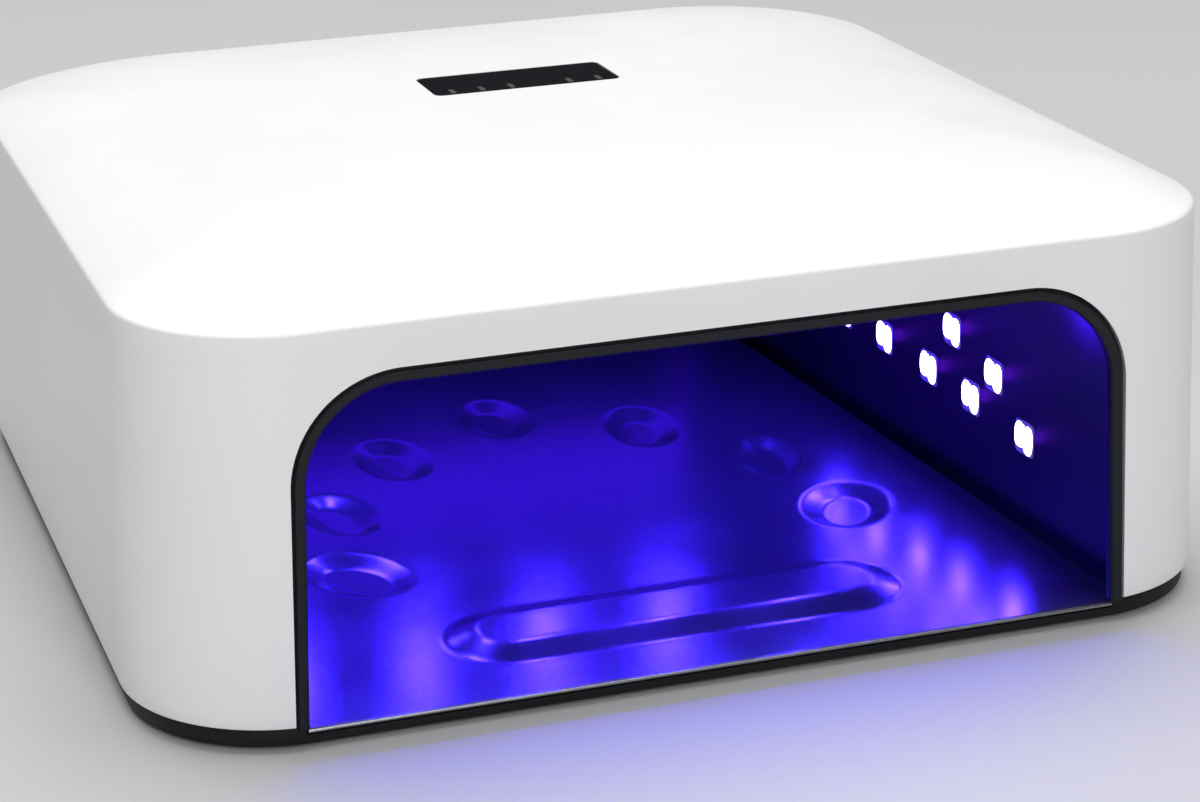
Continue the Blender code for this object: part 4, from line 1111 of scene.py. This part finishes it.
def make_tray():
    """Black frame round the sheet, with a ledge, a gap at the front edge and foot pockets."""
    edge = TRAY_EDGE
    sections = []
    for inset, z in (
        (edge, TRAY_LOW[2]),
        (edge * 0.3, TRAY_LOW[2] + edge * 0.3),
        (0.0, TRAY_LOW[2] + edge),
        (0.0, TRAY_HIGH[2] - edge),
        (edge * 0.3, TRAY_HIGH[2] - edge * 0.3),
        (edge, TRAY_HIGH[2]),
    ):
        sections.append([(x, y, z) for x, y in shell_outline(0, 0, 0, TRAY_INSET + inset, 24)])
    tray = add_object("tray", loft("tray", sections))
    ledge = shell_outline(0, 0, 0, TRAY_LEDGE_INSET, 24)
    cut(tray, loft("recess", upright(ledge, (TRAY_LEDGE_Z, ABOVE))))
    half = TRAY_HOLE_HALF
    hole = rounded_outline(half, -half, half, TRAY_HOLE_R, TRAY_HOLE_R)
    cut(tray, loft("hole", upright(hole, (BELOW, ABOVE / 2))))
    bm = bmesh.new()
    size = Vector((2 * (TONGUE_HALF + GAP), 17 * MM, 22 * MM))
    spot = Matrix.Translation((0, -HALF_DEPTH + PLATE_INSET, TRAY_LEDGE_Z + size.z / 2))
    bmesh.ops.create_cube(bm, size=1.0, matrix=spot @ Matrix.Diagonal((*size, 1)))
    cut(tray, mesh_from(bm, "front_gap"))
    pocket_depth = 10 * MM
    for name in foot_nodes():
        low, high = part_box(name)
        middle = (low + high) / 2
        spot = Matrix.Translation((middle.x, middle.y, high.z + GAP - pocket_depth / 2))
        cut(tray, cylinder_mesh("pocket", FOOT_POCKET_R, spot, pocket_depth))
    place(tray, "tray", "black_plastic", TRAY_BLACK, "tray_frame")


def foot_nodes():
    return [f"foot_{end}_{side}" for end in ENDS for _, side in SIDES]


def turned(name, profile, segments=48):
    """Solid of revolution about Z from (radius, z) points, first and last on the axis."""
    bm = bmesh.new()
    points = [bm.verts.new((radius, 0, z)) for radius, z in profile]
    edges = [bm.edges.new(pair) for pair in zip(points, points[1:])]
    bmesh.ops.spin(
        bm, geom=points + edges, cent=(0, 0, 0), axis=(0, 0, 1), angle=2 * math.pi, steps=segments,
        use_merge=True,
    )
    bmesh.ops.remove_doubles(bm, verts=bm.verts, dist=1e-6)
    return mesh_from(bm, name)


def make_feet():
    """Rubber discs with two grip grooves in the sole."""
    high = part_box(foot_nodes()[0])[1].z
    edge = FOOT_R - 0.2 * MM
    profile = [(0.0, high), (edge, high), (FOOT_R, high - 0.2 * MM), (FOOT_R, 0.5 * MM)]
    profile += [(FOOT_R - 0.15 * MM, 0.15 * MM), (FOOT_R - 0.5 * MM, 0.0)]
    for groove in (4.3 * MM, 2.6 * MM):
        profile += [(groove + 0.35 * MM, 0.0), (groove + 0.15 * MM, 0.35 * MM)]
        profile += [(groove - 0.15 * MM, 0.35 * MM), (groove - 0.35 * MM, 0.0)]
    profile += [(0.0, 0.0)]
    mesh = turned("foot_pad", profile)
    for node in foot_nodes():
        low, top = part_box(node)
        foot = add_object(node + "_pad", mesh)
        foot.location = ((low.x + top.x) / 2, (low.y + top.y) / 2, 0)
        place(foot, "tray", "rubber", RUBBER, node)


# ---------------------------------------------------------------- carried-over CAD nodes

def dress_nodes():
    looks = {
        "bottom_frame": BLACK,
        "dc_jack": BLACK,
        "control_board": GREEN_BOARD,
        "display_module": DIGITS,
        "touch_strip": RUBBER,
    }
    prefixes = (
        ("magnet_", NICKEL),
        ("screw_", NICKEL),
        ("led_board_", LED_BOARD),
        ("lead_", SLEEVE),
        ("hand_sensor_", SENSOR),
    )
    for name, node in frame["nodes"].items():
        material = looks.get(name)
        for prefix, look in prefixes:
            if name.startswith(prefix):
                material = look
        if material is not None:
            node.data.materials.clear()
            node.data.materials.append(material)


# ---------------------------------------------------------------- stage, light and camera

FLOOR_HALF = 4.0
MIDDLE = (0, 0, 0.05)              # studio lights point here
STUDIO_LIGHTS = (                  # name, place, size, power and colour
    ("overhead", (0.1, 0.35, 1.9), (2.0, 1.7), 47, (1, 1, 1)),
    ("key", (-0.15, -2.05, 1.2), (1.2, 1.2), 26, (1, 0.985, 0.975)),
    ("side_fill", (-1.7, -0.3, 0.8), (1.2, 1.0), 4.0, (0.98, 1, 0.96)),
)
WORLD_COLOUR = (0.93, 0.95, 1.0, 1)
WORLD_STRENGTH = 0.05
SCREENS = (("rear", 0, 1.9), ("left", -1.9, 0), ("right", 1.9, 0))
SCREEN_Z = 0.4
SCREEN_SIZE = (2.6, 0.8)
SCREEN_POWER = 12.0

# Camera: azimuth, elevation and roll of the line of sight, in degrees
CAMERA_ANGLES = (-17.11, 19.72, -1.46)
CAMERA_DISTANCE = 0.68065
CAMERA_TARGET = (-0.01046, 0, 0.0228)
CAMERA_LENS = 89.52
CAMERA_SHIFT = 1 / 12


def make_stage():
    bm = bmesh.new()
    bmesh.ops.create_grid(bm, x_segments=8, y_segments=8, size=FLOOR_HALF)
    floor = add_object("floor", mesh_from(bm, "floor"))
    material, nodes, links, shader = new_material("floor_look")
    tone = object_noise(nodes, links, 3, 2)
    colour = blend_colours(nodes, links, tone, (0.50, 0.50, 0.505), (0.52, 0.52, 0.525))
    links.new(colour, shader.inputs["Base Color"])
    shader.inputs["Roughness"].default_value = 0.7
    floor.data.materials.append(material)


def add_area(name, location, size, power, colour=(1, 1, 1)):
    """Studio panel that points at the middle of the lamp."""
    light = bpy.data.objects.new(name, panel_data(name, size, colour, power))
    bpy.context.scene.collection.objects.link(light)
    light.location = location
    direction = Vector(MIDDLE) - Vector(location)
    light.rotation_euler = direction.to_track_quat("-Z", "Y").to_euler()
    light.visible_camera = False
    return light


def make_lights():
    """Soft studio light. The cavity keeps the colour of its own light: the liner gets none of
    the studio's, and the sheet only the overhead light and the screens, which it reflects once
    the lamp is lifted off it."""
    world = bpy.data.worlds.new("studio")
    bpy.context.scene.world = world
    world.use_nodes = True
    background = world.node_tree.nodes["Background"]
    background.inputs["Color"].default_value = WORLD_COLOUR
    background.inputs["Strength"].default_value = WORLD_STRENGTH
    overhead, key, side = (add_area(*values) for values in STUDIO_LIGHTS)
    overhead.light_linking.receiver_collection = receivers("off_liner", ["liner"], "EXCLUDE")
    outside = receivers("outside_cavity", ["plate", "liner"], "EXCLUDE")
    for light in (key, side):
        light.light_linking.receiver_collection = outside
    only_plate = bpy.data.collections["only_plate"]
    for name, x, y in SCREENS:
        screen = add_area(f"screen_{name}", (x, y, SCREEN_Z), SCREEN_SIZE, SCREEN_POWER)
        screen.light_linking.receiver_collection = only_plate


def make_camera():
    azimuth, elevation, roll = (math.radians(angle) for angle in CAMERA_ANGLES)
    back = Vector((
        math.sin(azimuth) * math.cos(elevation),
        -math.cos(azimuth) * math.cos(elevation),
        math.sin(elevation),
    ))
    right = Vector((0, 0, 1)).cross(back).normalized()
    up = back.cross(right)
    rolled_right = right * math.cos(roll) + up * math.sin(roll)
    rolled_up = up * math.cos(roll) - right * math.sin(roll)
    rotation = Matrix((rolled_right, rolled_up, back)).transposed().to_4x4()
    data = bpy.data.cameras.new("camera")
    data.sensor_width = 36.0
    data.lens = CAMERA_LENS
    data.shift_x = CAMERA_SHIFT
    data.clip_start = 0.01
    camera = bpy.data.objects.new("camera", data)
    bpy.context.scene.collection.objects.link(camera)
    camera.matrix_world = Matrix.Translation(Vector(CAMERA_TARGET) + back * CAMERA_DISTANCE) @ rotation
    bpy.context.scene.camera = camera


def set_colour():
    scene = bpy.context.scene
    scene.view_settings.view_transform = "Standard"
    scene.view_settings.look = "None"
    scene.cycles.use_denoising = True


make_camera()
set_colour()
make_stage()
make_shell()
make_trim()
make_reflector()
make_beads()
make_display()
make_plate()
make_tray()
make_feet()
dress_nodes()
make_lights()
